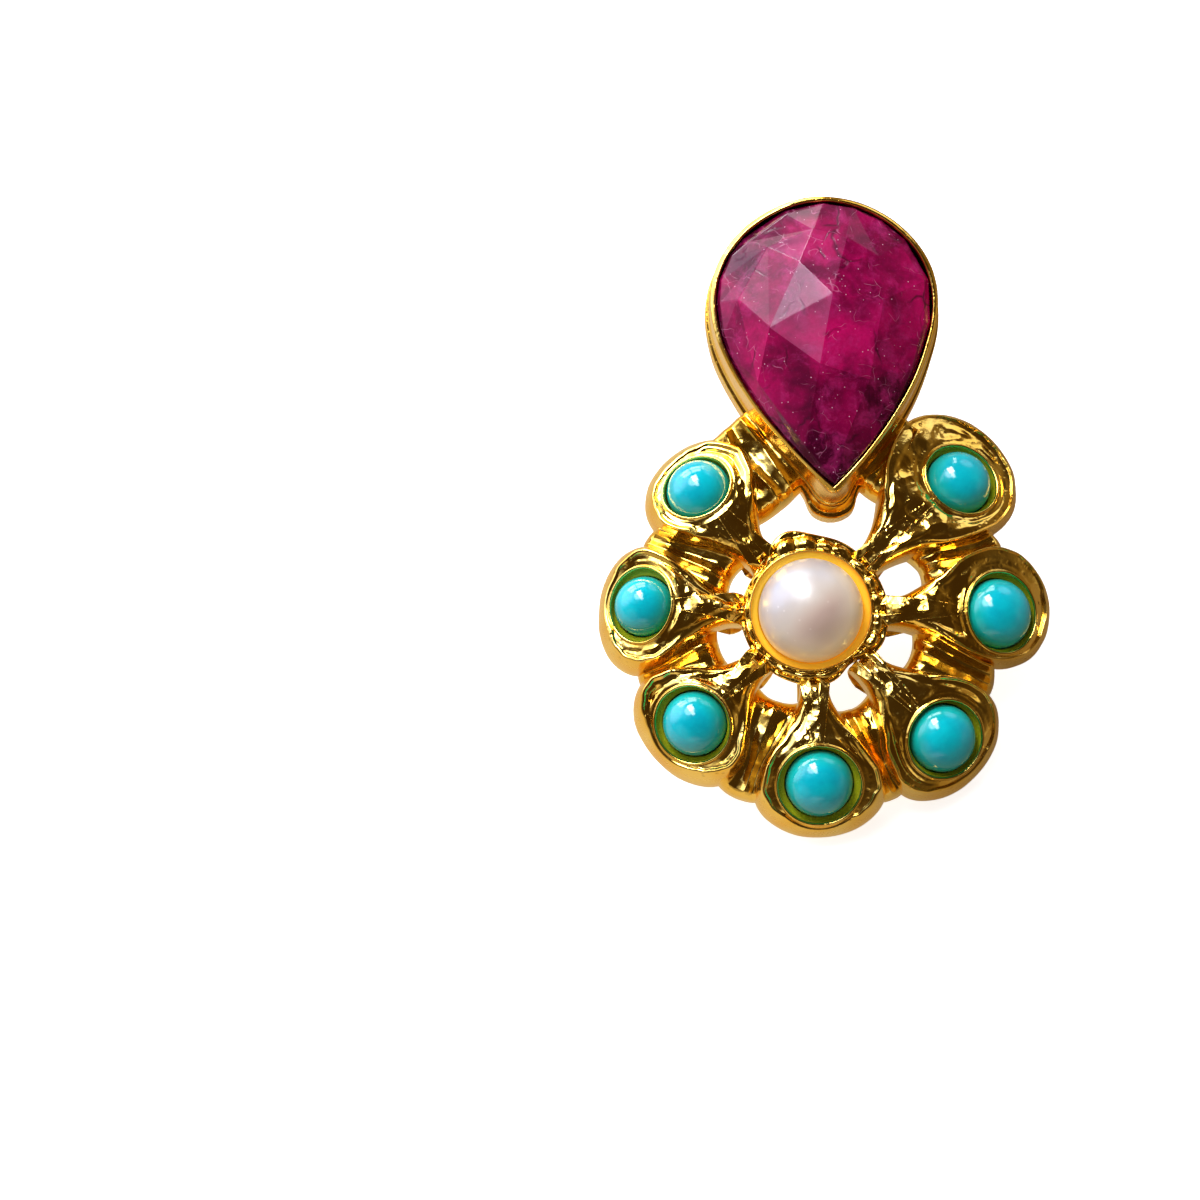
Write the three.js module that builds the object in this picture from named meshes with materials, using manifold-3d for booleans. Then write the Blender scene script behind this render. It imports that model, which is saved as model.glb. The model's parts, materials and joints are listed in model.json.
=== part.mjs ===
// Stud earring: a flower of seven stone-set petals round a pearl, with a large pear-shaped ruby in place of
// the eighth petal and a plain post behind the ruby.
//
// Sizes are in millimetres. Everything is first built in the face frame: the origin lies on the pearl's axis
// at the level of the back plate, +X is to the right as the face is looked at, +Y runs from the pearl to the
// ruby, and +Z comes out of the face. At the end the whole earring is laid down, face up, the way it lies by
// itself: on the end of its post and on the backs of its two lowest petals.

import * as THREE from 'three';
import { mergeVertices } from 'three/addons/utils/BufferGeometryUtils.js';
import Module from 'manifold-3d';

const wasm = await Module();
wasm.setup();

const DEG = Math.PI / 180;

// ---- driving dimensions ----------------------------------------------------------------------------------

// The petals, counted from the one left of the ruby and on past the lowest. angle is the petal's direction
// from the pearl, in degrees from +X; reach is the distance from the pearl to the middle of its stone; half
// is the petal's half width beside the stone, end is how far it goes on past the stone's middle, sway is how
// far its metal lies to the left of the stone, seen from the pearl, and mouth is half the width of the
// stone's cup.
const PETALS = [
  { angle: 131.6, reach: 9.65, half: 3.45, end: 2.65, sway: -0.25, mouth: 2.1 },
  { angle: 177.5, reach: 9.6, half: 3.7, end: 2.4, sway: 0.05, mouth: 2.15 },
  { angle: 224.0, reach: 9.3, half: 3.8, end: 2.6, sway: -0.15, mouth: 2.28 },
  { angle: 272.6, reach: 9.9, half: 3.75, end: 2.6, sway: 0.1, mouth: 2.42 },
  { angle: 316.3, reach: 10.45, half: 3.75, end: 2.55, sway: 0.05, mouth: 2.28 },
  { angle: 360.5, reach: 10.85, half: 3.45, end: 2.95, sway: 0.5, mouth: 2.38 },
  { angle: 402.2, reach: 11.75, half: 4.1, end: 3.3, sway: 0.6, mouth: 2.28 },
];

const HORN = {
  start: 3.2,          // where a petal begins, hidden in the collar
  neckEnd: 4.2,        // how far out it keeps its narrowest width
  neckHalf: 1.05,      // half width there
  crest: 3.7,          // height of the face at its highest
  crestAt: 6.0,        // distance of that highest place from the pearl
  droop: 0.053,        // how fast the face falls away from it, per millimetre
  back: -0.3,          // height of the petal's back
};

// The outline of a petal at four heights: inset from the widest outline, and share of the way up to the face.
const HORN_LEVELS = [
  { inset: 0.5, rise: 0 },
  { inset: 0, rise: 0.42 },
  { inset: 0.16, rise: 0.82 },
  { inset: 0.62, rise: 1 },
];

// A cup is a little shorter along its petal than it is wide, by the share oval.
const CUP = { oval: 0.93, lip: 0.24, lipRise: 0.12, depth: 1.3, lean: 23 };
const CABOCHON = { radius: 1.85, base: 0.6, dome: 1.75, seatGap: 0.1 };

// Webs between neighbouring petals. opening is where the web starts, outside the hole beside the collar, and
// end is where it stops at the flower's outline, both measured from the pearl.
const WEBS = [
  { opening: 4.9, end: 10.3 },
  { opening: 5.7, end: 10.3 },
  { opening: 5.4, end: 11.1 },
  { opening: 5.9, end: 11.4 },
  { opening: 6.4, end: 11.1 },
  { opening: 7.1, end: 11.7 },
];

// Webs between the outer petals and the ruby's base plate. side is the half width of the web.
const RUBY_WEBS = [
  { angle: 109.5, opening: 6.4, end: 11.2, side: 1.75 },
  { angle: 57.5, opening: 7.6, end: 12.2, side: 1.75 },
];

const WEB = { back: 0.1, inner: 2.35, outer: 0.95, ribRise: 0.4, ribs: 3, overlap: 0.6 };

const COLLAR = { inner: 3.35, outer: 4.2, top: 3.6, back: -0.1, floor: 0.7, beads: 22, beadDepth: 0.16 };
const PEARL = { radius: 2.95, middle: 3.5, bottom: 0.8 };

// Pear outlines: half width, half length, middle and how far the tip leans to the right. fullness draws the
// sides in towards the tip, and crown fills out the round end.
const PEAR = {
  halfWidth: 6.48, halfLength: 8.64, x: 0.83, y: 15.11, lean: 0.46, fullness: 0.92, crown: 0.155,
};
const BEZEL = { rim: 5.2, foot: 1.7, wall: 0.28, flare: 0.12, seat: 1.9, seatWidth: 0.8, floor: 0.7 };
const BASE = { back: 0, side: 0.2, tip: 0.65, edge: 0.25 };
const RUBY = { gap: 0.12, bottom: 2.0, girdle: 4.7, top: 7.5 };

const POST = { radius: 0.45, length: 10.4, x: -0.6, y: 17.5, tipRadius: 0.25 };
const POST_SEAT = { radius: 1.3, height: 0.6, depth: 0.5, gap: 0.08 };

// ---- looks -----------------------------------------------------------------------------------------------

const GOLD = { color: 0xd9a321, roughness: 0.18, metalness: 1 };
const RUBY_PINK = { color: 0x9c1150, roughness: 0.12, metalness: 0 };
const PEARL_WHITE = { color: 0xf1e3dc, roughness: 0.25, metalness: 0 };
const TURQUOISE = { color: 0x1fa9b5, roughness: 0.15, metalness: 0 };

// ---- small helpers ---------------------------------------------------------------------------------------

const lerp = THREE.MathUtils.lerp;

function smoothstep(from, to, value) {
  return THREE.MathUtils.smoothstep(value, from, to);
}

function closedMesh(points, faces) {
  const geometry = new THREE.BufferGeometry();
  const numbers = points.flatMap((p) => [p.x, p.y, p.z]);
  geometry.setAttribute('position', new THREE.Float32BufferAttribute(numbers, 3));
  geometry.setIndex(faces.flat());
  return geometry;
}

// A closed body through rings of points, from the back ring to the front ring. Every ring has the same number
// of points and is mirror-like: point i faces point count - 1 - i, so each end is closed by strips across it.
function bodyThroughRings(rings) {
  const count = rings[0].length;
  const faces = [];
  for (let level = 0; level < rings.length - 1; level += 1) {
    for (let i = 0; i < count; i += 1) {
      const a = level * count + i;
      const b = level * count + ((i + 1) % count);
      faces.push([a, b, b + count], [a, b + count, a + count]);
    }
  }
  const front = (rings.length - 1) * count;
  for (let i = 0; i < count / 2 - 1; i += 1) {
    const corners = [i, i + 1, count - 2 - i, count - 1 - i];
    const used = corners.filter((corner, place) => corners.indexOf(corner) === place);
    for (let k = 1; k < used.length - 1; k += 1) {
      faces.push([used[0], used[k + 1], used[k]]);
      faces.push([front + used[0], front + used[k], front + used[k + 1]]);
    }
  }
  return closedMesh(rings.flat(), faces);
}

function toSolid(geometry) {
  const bare = geometry.clone();
  bare.deleteAttribute('normal');
  bare.deleteAttribute('uv');
  const merged = mergeVertices(bare, 1e-5);
  return new wasm.Manifold(new wasm.Mesh({
    numProp: 3,
    vertProperties: merged.attributes.position.array,
    triVerts: new Uint32Array(merged.index.array),
  }));
}

function toGeometry(solid) {
  const mesh = solid.getMesh();
  const geometry = new THREE.BufferGeometry();
  geometry.setAttribute('position', new THREE.BufferAttribute(mesh.vertProperties, 3));
  geometry.setIndex(new THREE.BufferAttribute(mesh.triVerts, 1));
  return geometry;
}

function joined(solids) {
  return solids.reduce((whole, solid) => whole.add(solid));
}

// A solid of revolution about +Z; the profile runs from the axis at the back to the axis at the front.
function turned(profile, segments) {
  const points = profile.map(([radius, height]) => new THREE.Vector2(radius, height));
  return new THREE.LatheGeometry(points, segments).rotateX(Math.PI / 2);
}

// ---- petals ----------------------------------------------------------------------------------------------

function hornFaceHeight(distance) {
  return HORN.crest - HORN.droop * (distance - HORN.crestAt) ** 2;
}

// Half the width of a petal's flank, some distance along it.
function hornHalf(bodyHalf, reach, along) {
  return lerp(HORN.neckHalf, bodyHalf, smoothstep(HORN.neckEnd, reach, along));
}

// The widest outline of a petal that points along +X: a narrow neck that opens to a round end about the
// stone.
function hornOutline({ reach, half: bodyHalf, end: endReach, sway }) {
  const flankSteps = 8;
  const endSteps = 7;
  const side = [];
  for (let i = 0; i < flankSteps; i += 1) {
    const along = lerp(HORN.start, reach, i / flankSteps);
    side.push(new THREE.Vector2(along, -hornHalf(bodyHalf, reach, along)));
  }
  for (let i = 0; i < endSteps; i += 1) {
    const turn = (i / endSteps) * 90 * DEG;
    side.push(new THREE.Vector2(reach + endReach * Math.sin(turn), -bodyHalf * Math.cos(turn)));
  }
  const tip = new THREE.Vector2(reach + endReach, 0);
  const otherSide = side.map((p) => new THREE.Vector2(p.x, -p.y)).reverse();
  return [...side, tip, ...otherSide].map((p) => (
    new THREE.Vector2(p.x, p.y + sway * smoothstep(HORN.neckEnd, reach, p.x))));
}

// Moves each point of an outline inwards, square to the outline.
function insetOutline(outline, inset) {
  return outline.map((point, i) => {
    const before = outline[(i + outline.length - 1) % outline.length];
    const after = outline[(i + 1) % outline.length];
    const along = after.clone().sub(before).normalize();
    return new THREE.Vector2(point.x - along.y * inset, point.y + along.x * inset);
  });
}

function hornBody(petal) {
  const outline = hornOutline(petal);
  const rings = HORN_LEVELS.map(({ inset, rise }) => insetOutline(outline, inset).map((p) => (
    new THREE.Vector3(p.x, p.y, lerp(HORN.back, hornFaceHeight(p.x), rise)))));
  return bodyThroughRings(rings);
}

// The turn and place of a stone's cup: on the face of the petal, leaning outwards with it.
function cupPlace({ angle, reach }) {
  return new THREE.Matrix4()
    .makeRotationZ(angle * DEG)
    .multiply(new THREE.Matrix4().makeTranslation(reach, 0, hornFaceHeight(reach)))
    .multiply(new THREE.Matrix4().makeRotationY(CUP.lean * DEG));
}

// An oval plug that stands in a petal's cup, grown outwards from the cup's wall by side.
function cupPlug(petal, side, top) {
  const radius = petal.mouth + side;
  const plug = turned([[0, -CUP.depth], [radius, -CUP.depth], [radius, top], [0, top]], 24);
  return toSolid(plug.scale(CUP.oval, 1, 1).applyMatrix4(cupPlace(petal)));
}

function petalWithLip(petal) {
  const body = hornBody(petal).rotateZ(petal.angle * DEG);
  return toSolid(body).add(cupPlug(petal, CUP.lip, CUP.lipRise));
}

function cupHole(petal) {
  const above = 3;
  return cupPlug(petal, 0, above);
}

function cabochon() {
  const steps = 5;
  const bottom = -CUP.depth + CABOCHON.seatGap;
  const profile = [[0, bottom], [CABOCHON.radius, bottom]];
  for (let i = 0; i < steps; i += 1) {
    const rise = (i / steps) * 90 * DEG;
    profile.push([CABOCHON.radius * Math.cos(rise), bottom + CABOCHON.base + CABOCHON.dome * Math.sin(rise)]);
  }
  profile.push([0, bottom + CABOCHON.base + CABOCHON.dome]);
  return turned(profile, 20);
}

// ---- webs between the petals -----------------------------------------------------------------------------

// A ribbed web along +X from opening to end. halfAt gives its half width at a distance from the pearl.
function webBody(opening, end, halfAt) {
  const stations = 4;
  const across = WEB.ribs * 4;
  const rings = [];
  for (let i = 0; i <= stations; i += 1) {
    const share = i / stations;
    const distance = lerp(opening, end, share);
    const half = halfAt(distance);
    const top = [];
    for (let k = 0; k <= across; k += 1) {
      const side = 1 - (2 * k) / across;
      const rib = WEB.ribRise * Math.cos(side * WEB.ribs * Math.PI) * 0.5;
      top.push(new THREE.Vector3(distance, half * side, lerp(WEB.inner, WEB.outer, share ** 1.5) + rib));
    }
    const bottom = top.map((p) => new THREE.Vector3(p.x, p.y, WEB.back)).reverse();
    rings.push([...top, ...bottom]);
  }
  return bodyThroughRings(rings);
}

function petalWebs() {
  return WEBS.map(({ opening, end }, i) => {
    const spread = (PETALS[i + 1].angle - PETALS[i].angle) * 0.5 * DEG;
    const reach = (PETALS[i].reach + PETALS[i + 1].reach) / 2;
    const bodyHalf = (PETALS[i].half + PETALS[i + 1].half) / 2;
    const halfAt = (distance) => {
      const petalHalf = hornHalf(bodyHalf, reach, distance * Math.cos(spread));
      return distance * Math.sin(spread) - petalHalf + WEB.overlap;
    };
    const middle = (PETALS[i].angle + PETALS[i + 1].angle) / 2;
    return toSolid(webBody(opening, end, halfAt).rotateZ(middle * DEG));
  });
}

function rubyWebs() {
  return RUBY_WEBS.map(({ angle, opening, end, side }) => (
    toSolid(webBody(opening, end, () => side).rotateZ(angle * DEG))));
}

// ---- collar and pearl ------------------------------------------------------------------------------------

// The collar's outside is beaded: its radius swells and falls round the ring.
function collarOutside() {
  const sides = COLLAR.beads * 2;
  const ringAt = (height, inset) => {
    const ring = [];
    for (let i = 0; i < sides; i += 1) {
      const turn = ((i + 0.5) / sides) * 2 * Math.PI;
      const radius = COLLAR.outer - inset - (i % 2) * COLLAR.beadDepth;
      ring.push(new THREE.Vector3(radius * Math.cos(turn), radius * Math.sin(turn), height));
    }
    return ring;
  };
  return bodyThroughRings([
    ringAt(COLLAR.back, 0.3),
    ringAt(COLLAR.back + 0.3, 0),
    ringAt(COLLAR.top - 0.35, 0),
    ringAt(COLLAR.top, 0.3),
  ]);
}

function collarHole() {
  const above = 2;
  const top = COLLAR.top + above;
  const profile = [[0, COLLAR.floor], [COLLAR.inner, COLLAR.floor], [COLLAR.inner, top], [0, top]];
  return toSolid(turned(profile, 32));
}

// A button pearl: a ball cut flat where it is glued to the collar's floor.
function pearlBody() {
  const steps = 9;
  const lowest = Math.asin((PEARL.bottom - PEARL.middle) / PEARL.radius);
  const profile = [[0, PEARL.bottom]];
  for (let i = 0; i < steps; i += 1) {
    const rise = lerp(lowest, 90 * DEG, i / steps);
    profile.push([PEARL.radius * Math.cos(rise), PEARL.middle + PEARL.radius * Math.sin(rise)]);
  }
  profile.push([0, PEARL.middle + PEARL.radius]);
  return turned(profile, 28);
}

// ---- ruby, its bezel and its base plate ------------------------------------------------------------------

// A pear outline with its tip down, grown outwards by side at the sides and top and by tip at the tip. It
// starts at the tip and is mirror-like about its length.
function pearRing(height, side, tip, count) {
  const widest = 0.7792;                       // largest value of shape(t)
  const shape = (t) => {
    const roundEnd = 1 - PEAR.crown * Math.max(-Math.cos(t), 0) ** 3;
    return Math.sin(t) * Math.abs(Math.sin(t / 2)) ** PEAR.fullness * roundEnd;
  };
  const halfWidth = PEAR.halfWidth + side;
  const halfLength = PEAR.halfLength + (side + tip) / 2;
  const middle = PEAR.y + (side - tip) / 2;
  const ring = [];
  for (let i = 0; i < count; i += 1) {
    const t = ((i + 0.5) / count) * 2 * Math.PI;
    const across = shape(t) / widest;
    const down = Math.max(Math.cos(t), 0);
    ring.push(new THREE.Vector3(
      PEAR.x + halfWidth * across + PEAR.lean * down,
      middle - halfLength * Math.cos(t),
      height,
    ));
  }
  return ring;
}

function bezelOutside() {
  const count = 48;
  return toSolid(bodyThroughRings([
    pearRing(BASE.back, BASE.side - BASE.edge, BASE.tip - BASE.edge, count),
    pearRing(BASE.back + BASE.edge, BASE.side, BASE.tip, count),
    pearRing(BEZEL.foot - BASE.edge, BASE.side, BASE.tip, count),
    pearRing(BEZEL.foot, BEZEL.flare, BEZEL.flare, count),
    pearRing(BEZEL.rim, 0, 0, count),
  ]));
}

// The room for the ruby, with a narrower hollow under it that leaves a ledge for the stone to sit on.
function bezelHole() {
  const count = 48;
  const above = 1;
  const ledge = BEZEL.wall + BEZEL.seatWidth;
  const room = bodyThroughRings([
    pearRing(BEZEL.seat, -BEZEL.wall, -BEZEL.wall, count),
    pearRing(BEZEL.rim + above, -BEZEL.wall, -BEZEL.wall, count),
  ]);
  const hollow = bodyThroughRings([
    pearRing(BEZEL.floor, -ledge, -ledge, count / 2),
    pearRing(BEZEL.seat + above, -ledge, -ledge, count / 2),
  ]);
  return toSolid(room).add(toSolid(hollow));
}

// The ruby's crown rises from the girdle in rows of flat facets, each row turned half a step from the last.
function rubyBody() {
  const sides = 16;
  const fit = -(BEZEL.wall + RUBY.gap);
  const rows = [
    { shrink: 0.88, height: RUBY.bottom },
    { shrink: 1, height: RUBY.girdle },
    { shrink: 0.74, height: lerp(RUBY.girdle, RUBY.top, 0.55) },
    { shrink: 0.4, height: lerp(RUBY.girdle, RUBY.top, 0.9) },
  ];
  const centre = new THREE.Vector3(PEAR.x, PEAR.y + 0.9, 0);
  const rings = rows.map(({ shrink, height }) => pearRing(height, fit, fit, sides).map((p) => (
    new THREE.Vector3(lerp(centre.x, p.x, shrink), lerp(centre.y, p.y, shrink), height))));
  const points = rings.flat();
  const peak = points.push(new THREE.Vector3(centre.x, centre.y, RUBY.top)) - 1;
  const faces = [];
  for (let i = 0; i < sides; i += 1) {
    const next = (i + 1) % sides;
    for (let row = 0; row < rows.length - 1; row += 1) {
      const a = row * sides;
      const b = a + sides;
      faces.push([a + i, a + next, b + next], [a + i, b + next, b + i]);
    }
    const last = (rows.length - 1) * sides;
    faces.push([last + i, last + next, peak]);
  }
  for (let i = 0; i < sides / 2 - 1; i += 1) {
    faces.push([i, sides - 2 - i, i + 1], [i, sides - 1 - i, sides - 2 - i]);
  }
  return closedMesh(points, faces);
}

// ---- post and its seat -----------------------------------------------------------------------------------

function postSeat() {
  const { radius, height } = POST_SEAT;
  const seat = turned([[0, -height], [radius, -height], [radius, 0.4], [0, 0.4]], 20);
  const hole = POST.radius + POST_SEAT.gap;
  const bore = turned([[0, -height - 1], [hole, -height - 1], [hole, -height + POST_SEAT.depth],
    [0, -height + POST_SEAT.depth]], 16);
  return {
    seat: toSolid(seat.translate(POST.x, POST.y, 0)),
    bore: toSolid(bore.translate(POST.x, POST.y, 0)),
  };
}

function postBody() {
  const top = -POST_SEAT.height + POST_SEAT.depth - POST_SEAT.gap;
  const tip = -POST.length;
  return turned([[0, tip], [POST.tipRadius, tip], [POST.radius, tip + 0.3], [POST.radius, top], [0, top]], 16)
    .translate(POST.x, POST.y, 0);
}

// ---- the one soldered metal solid ------------------------------------------------------------------------

function goldSetting() {
  const { seat, bore } = postSeat();
  const metal = joined([
    ...PETALS.map(petalWithLip),
    ...petalWebs(),
    ...rubyWebs(),
    toSolid(collarOutside()),
    bezelOutside(),
    seat,
  ]);
  return [...PETALS.map(cupHole), collarHole(), bezelHole(), bore]
    .reduce((whole, hole) => whole.subtract(hole), metal);
}

// ---- how it lies -----------------------------------------------------------------------------------------

function cornersOf(mesh) {
  const { position } = mesh.geometry.attributes;
  const corner = (_, i) => new THREE.Vector3().fromBufferAttribute(position, i);
  return Array.from({ length: position.count }, corner);
}

function furthest(points, way) {
  return points.reduce((best, point) => (point.dot(way) > best.dot(way) ? point : best));
}

// The turn that lays the earring on the post's end and on the two petals named, face up, with the ruby's end
// along +Y.
function lyingTurn(setting, post, restingPetals) {
  const metal = cornersOf(setting);
  const feet = restingPetals.map(({ angle }) => {
    const way = new THREE.Vector3(Math.cos(angle * DEG), Math.sin(angle * DEG), 0);
    return metal.filter((point) => point.clone().setZ(0).angleTo(way) < 20 * DEG);
  });
  const groups = [cornersOf(post), ...feet];
  let down = new THREE.Vector3(0, -0.35, -1).normalize();
  for (let round = 0; round < 8; round += 1) {
    const [a, b, c] = groups.map((points) => furthest(points, down));
    down = b.clone().sub(a).cross(c.clone().sub(a)).normalize();
    if (down.z > 0) down.negate();
  }
  const level = new THREE.Quaternion().setFromUnitVectors(down, new THREE.Vector3(0, 0, -1));
  const ruby = new THREE.Vector3(0, 1, 0).applyQuaternion(level);
  const upright = new THREE.Vector3(0, 0, 1);
  const turn = new THREE.Quaternion().setFromAxisAngle(upright, Math.atan2(ruby.x, ruby.y));
  return turn.multiply(level);
}

// ---- assembly --------------------------------------------------------------------------------------------

function piece(name, geometry, look) {
  const mesh = new THREE.Mesh(geometry, new THREE.MeshStandardMaterial(look));
  mesh.name = name;
  return mesh;
}

function buildEarring() {
  const face = new THREE.Group();
  const setting = piece('gold_setting', toGeometry(goldSetting()), GOLD);
  const post = piece('ear_post', postBody(), GOLD);
  face.add(setting, post);
  face.add(piece('ruby', rubyBody(), RUBY_PINK));
  face.add(piece('pearl', pearlBody(), PEARL_WHITE));
  PETALS.forEach((petal, i) => {
    const stone = piece(`turquoise_${i + 1}`, cabochon(), TURQUOISE);
    stone.applyMatrix4(cupPlace(petal));
    face.add(stone);
  });
  face.quaternion.copy(lyingTurn(setting, post, [PETALS[3], PETALS[4]]));

  const earring = new THREE.Group();
  earring.add(face);
  earring.updateMatrixWorld(true);
  const box = new THREE.Box3().setFromObject(earring, true);
  const middle = box.getCenter(new THREE.Vector3());
  face.position.set(-middle.x, -middle.y, -box.min.z);
  return earring;
}

export default buildEarring();
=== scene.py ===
"""Stud earring: cast gold petals set with turquoise round a pearl, and a pear-shaped ruby in a bezel.

Every shape is worked out in millimetres in the face frame, as the goldsmith looks at the earring: the
origin is on the pearl's axis at the level of the back plate, +X is right, +Y runs from the pearl to the
ruby and +Z comes out of the face. The face frame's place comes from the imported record's mount, and each
finished surface is then laid in the row frame, in metres.
"""
import itertools
import json
import math

import bmesh
import bpy
import numpy as np
from mathutils import Matrix, Vector


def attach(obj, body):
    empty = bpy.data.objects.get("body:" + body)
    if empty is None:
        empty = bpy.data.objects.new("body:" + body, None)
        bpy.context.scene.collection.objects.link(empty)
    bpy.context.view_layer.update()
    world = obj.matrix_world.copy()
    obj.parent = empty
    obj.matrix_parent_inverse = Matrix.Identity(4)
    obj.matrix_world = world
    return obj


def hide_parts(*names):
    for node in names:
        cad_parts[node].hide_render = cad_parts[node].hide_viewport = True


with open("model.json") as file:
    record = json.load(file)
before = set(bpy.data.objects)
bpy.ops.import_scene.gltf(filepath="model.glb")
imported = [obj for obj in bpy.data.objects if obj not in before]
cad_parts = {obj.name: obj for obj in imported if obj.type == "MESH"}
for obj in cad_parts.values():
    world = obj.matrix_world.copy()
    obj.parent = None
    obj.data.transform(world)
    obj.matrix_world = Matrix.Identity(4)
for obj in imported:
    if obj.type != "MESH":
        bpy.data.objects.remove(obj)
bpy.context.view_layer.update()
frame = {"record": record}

# ---- measures, in millimetres ----------------------------------------------------------------------------


def table(names, *rows):
    """Rows of values, each under its name."""
    return [dict(zip(names.split(), row)) for row in rows]


# A point of the lobe's flat face, which the record's mount gives in the row frame.
LOBE_POINT = np.array([1.5, 13.0, 0.0])

# Petals, close to the part's: direction from the pearl in degrees, distance of the stone's middle, half
# width, end past the stone, sway of the metal to the left, half width of the stone's cup, the stone's
# radius, the cup's length for its width, and how far the wall bulges past its top.
PETALS = table(
    "angle reach half end sway mouth stone oval bulge",
    (131.6, 9.65, 3.45, 2.65, -0.25, 1.95, 1.87, 0.95, 1.0),
    (177.5, 9.6, 3.7, 2.4, 0.05, 2.10, 1.72, 0.87, 1.0),
    (224.0, 9.3, 3.8, 2.6, -0.15, 2.18, 1.845, 0.96, 1.0),
    (272.6, 9.9, 3.75, 2.6, 0.1, 2.32, 1.91, 0.95, 0.9),
    (316.3, 10.45, 3.75, 2.55, 0.05, 2.2, 1.94, 0.96, 0.6),
    (360.5, 10.85, 3.45, 2.95, 0.5, 2.28, 2.00, 0.92, 0.5),
    (402.2, 11.75, 4.1, 3.3, 0.6, 2.16, 1.90, 0.94, 0.5),
)
PETAL_START = 3.6          # hidden in the collar's wall
NECK_END, NECK_HALF = 4.2, 1.05
# The face's height at its highest, where that is, how it droops from there, and the most that it does.
PETAL_CREST, CREST_AT, PETAL_DROOP, DEEPEST_DROP = 3.7, 6.0, 0.053, 3.4
PETAL_BACK = -0.3          # the height of its flat back

# A petal's wall from its back to the raised border: inset from the widest outline, share of the way up to
# the face, and rise above the face.
PETAL_WALL = (
    (0.8, 0, 0), (0.52, 0, 0), (0.34, 0.02, 0), (0.2, 0.07, 0), (0.09, 0.16, 0), (0.02, 0.28, 0),
    (0, 0.4, 0), (0.02, 0.52, 0), (0.06, 0.64, 0), (0.13, 0.75, 0), (0.22, 0.85, 0.01),
    (0.32, 0.93, 0.04), (0.4, 0.98, 0.08), (0.46, 1, 0.11), (0.51, 1, 0.125), (0.57, 1, 0.115),
    (0.62, 1, 0.08), (0.67, 1, 0.03), (0.73, 1, -0.02),
)
BORDER_INSET = PETAL_WALL[-1][0]
# Between border and lip: rows of points, the gap kept, and the least share of the border's width left.
FACE_ROWS, LIP_CLEARANCE, LEAST_ROOM = 48, 0.03, 0.12
CUP_LEAN = 23.0            # degrees outwards
CUP_FLOOR = 1.28           # below the mouth
# The lip round a stone: distance outside the cup's wall and height over the cup's mouth.
CUP_LIP = ((0.22, -0.06), (0.20, 0.01), (0.165, 0.065), (0.12, 0.095), (0.07, 0.09), (0.03, 0.055),
           (0.0, 0.0))
# The bowl inside a cup: share of the way from its mouth to the stone's side, and depth.
CUP_BOWL = ((0.05, 0.10), (0.12, 0.19), (0.22, 0.27), (0.36, 0.34), (0.52, 0.39), (0.70, 0.43), (0.88, 0.45),
            (0.98, 0.48), (1.0, 0.60), (1.0, 0.95), (1.0, 1.22), (1.05, CUP_FLOOR))
FLOOR_RINGS = (1.2, 0.5)   # radii
STONE_GAP = 0.05           # between a stone's side and the bowl
# A cabochon's bottom over the cup's mouth, the height of its upright base and that of its dome.
STONE_BOTTOM, STONE_BASE, STONE_DOME = -1.2, 0.6, 1.75

# Webs between neighbouring petals: where each opens outside its hole, where it ends at the outline, and how
# far its sides reach in round the hole.
WEBS = table(
    "opening end arch",
    (4.85, 10.35, 0.5), (5.4, 10.35, 0.4), (5.2, 11.15, 0.7), (5.75, 11.4, 0.6), (6.1, 11.15, 0.5),
    (6.75, 11.75, 0.7),
)
# Webs beside the bezel: direction, start and end outwards, the two sides at its start and end, to the left
# of the direction, and the number of its strands.
RUBY_WEBS = table(
    "name angle start end near far ribs",
    ("web_left_of_ruby", 131.3, 5.95, 11.4, (-5.3, -5.3), (-1.2, -2.6), 3),
    ("web_right_of_ruby", 49.0, 7.7, 12.4, (1.0, 2.4), (4.1, 4.1), 2),
)
# Height of a web's back, and of its top at its opening and at its end; how far it runs under a petal.
WEB_BACK, WEB_INNER, WEB_OUTER, WEB_OVERLAP = 0.1, 2.7, 1.6, 0.6

# Heights of the collar's flat back, and of its floor under the pearl.
COLLAR_BACK, COLLAR_FLOOR = -0.1, 0.7
# The pearl's radius, and the heights of its middle and of the flat under it.
PEARL_RADIUS, PEARL_MIDDLE, PEARL_BOTTOM = 2.95, 3.5, 0.8
# Towards the pearl's paler, warmer side, painted light against the painted shade of its other side, how far
# out that side counts in full, and the height it is taken at.
PEARL_PAINTED_LIGHT_WAY, PEARL_PAINTED_LIGHT_REACH, PEARL_PAINTED_LIGHT_LEVEL = np.array([0.64, -0.77, 0.0]), 2.4, 5.0

# The ruby's pear outline: its size, its middle, and how far its tip leans to the right. Then the power that
# slims it towards the tip, how much its round end is narrowed, and the curve's own greatest half width.
PEAR_HALF_WIDTH, PEAR_HALF_LENGTH, PEAR_X, PEAR_Y, PEAR_LEAN = 6.48, 8.64, 0.83, 15.11, 0.46
PEAR_FULLNESS, PEAR_CROWN, PEAR_WIDEST = 0.92, 0.155, 0.7792

BEZEL_FLOOR = 0.7          # under the ruby
RUBY_DARK_FROM, RUBY_DARK_TO = 14.0, 7.5   # it darkens towards its tip between these heights on the face

# The post's radius, how far behind the back plate it ends, its place, and the height of its inner end.
POST_RADIUS, POST_LENGTH, POST_X, POST_Y, POST_TOP = 0.45, 10.4, -0.6, 17.5, -0.18

# ---- the face frame's place in the row frame -------------------------------------------------------------

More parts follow.
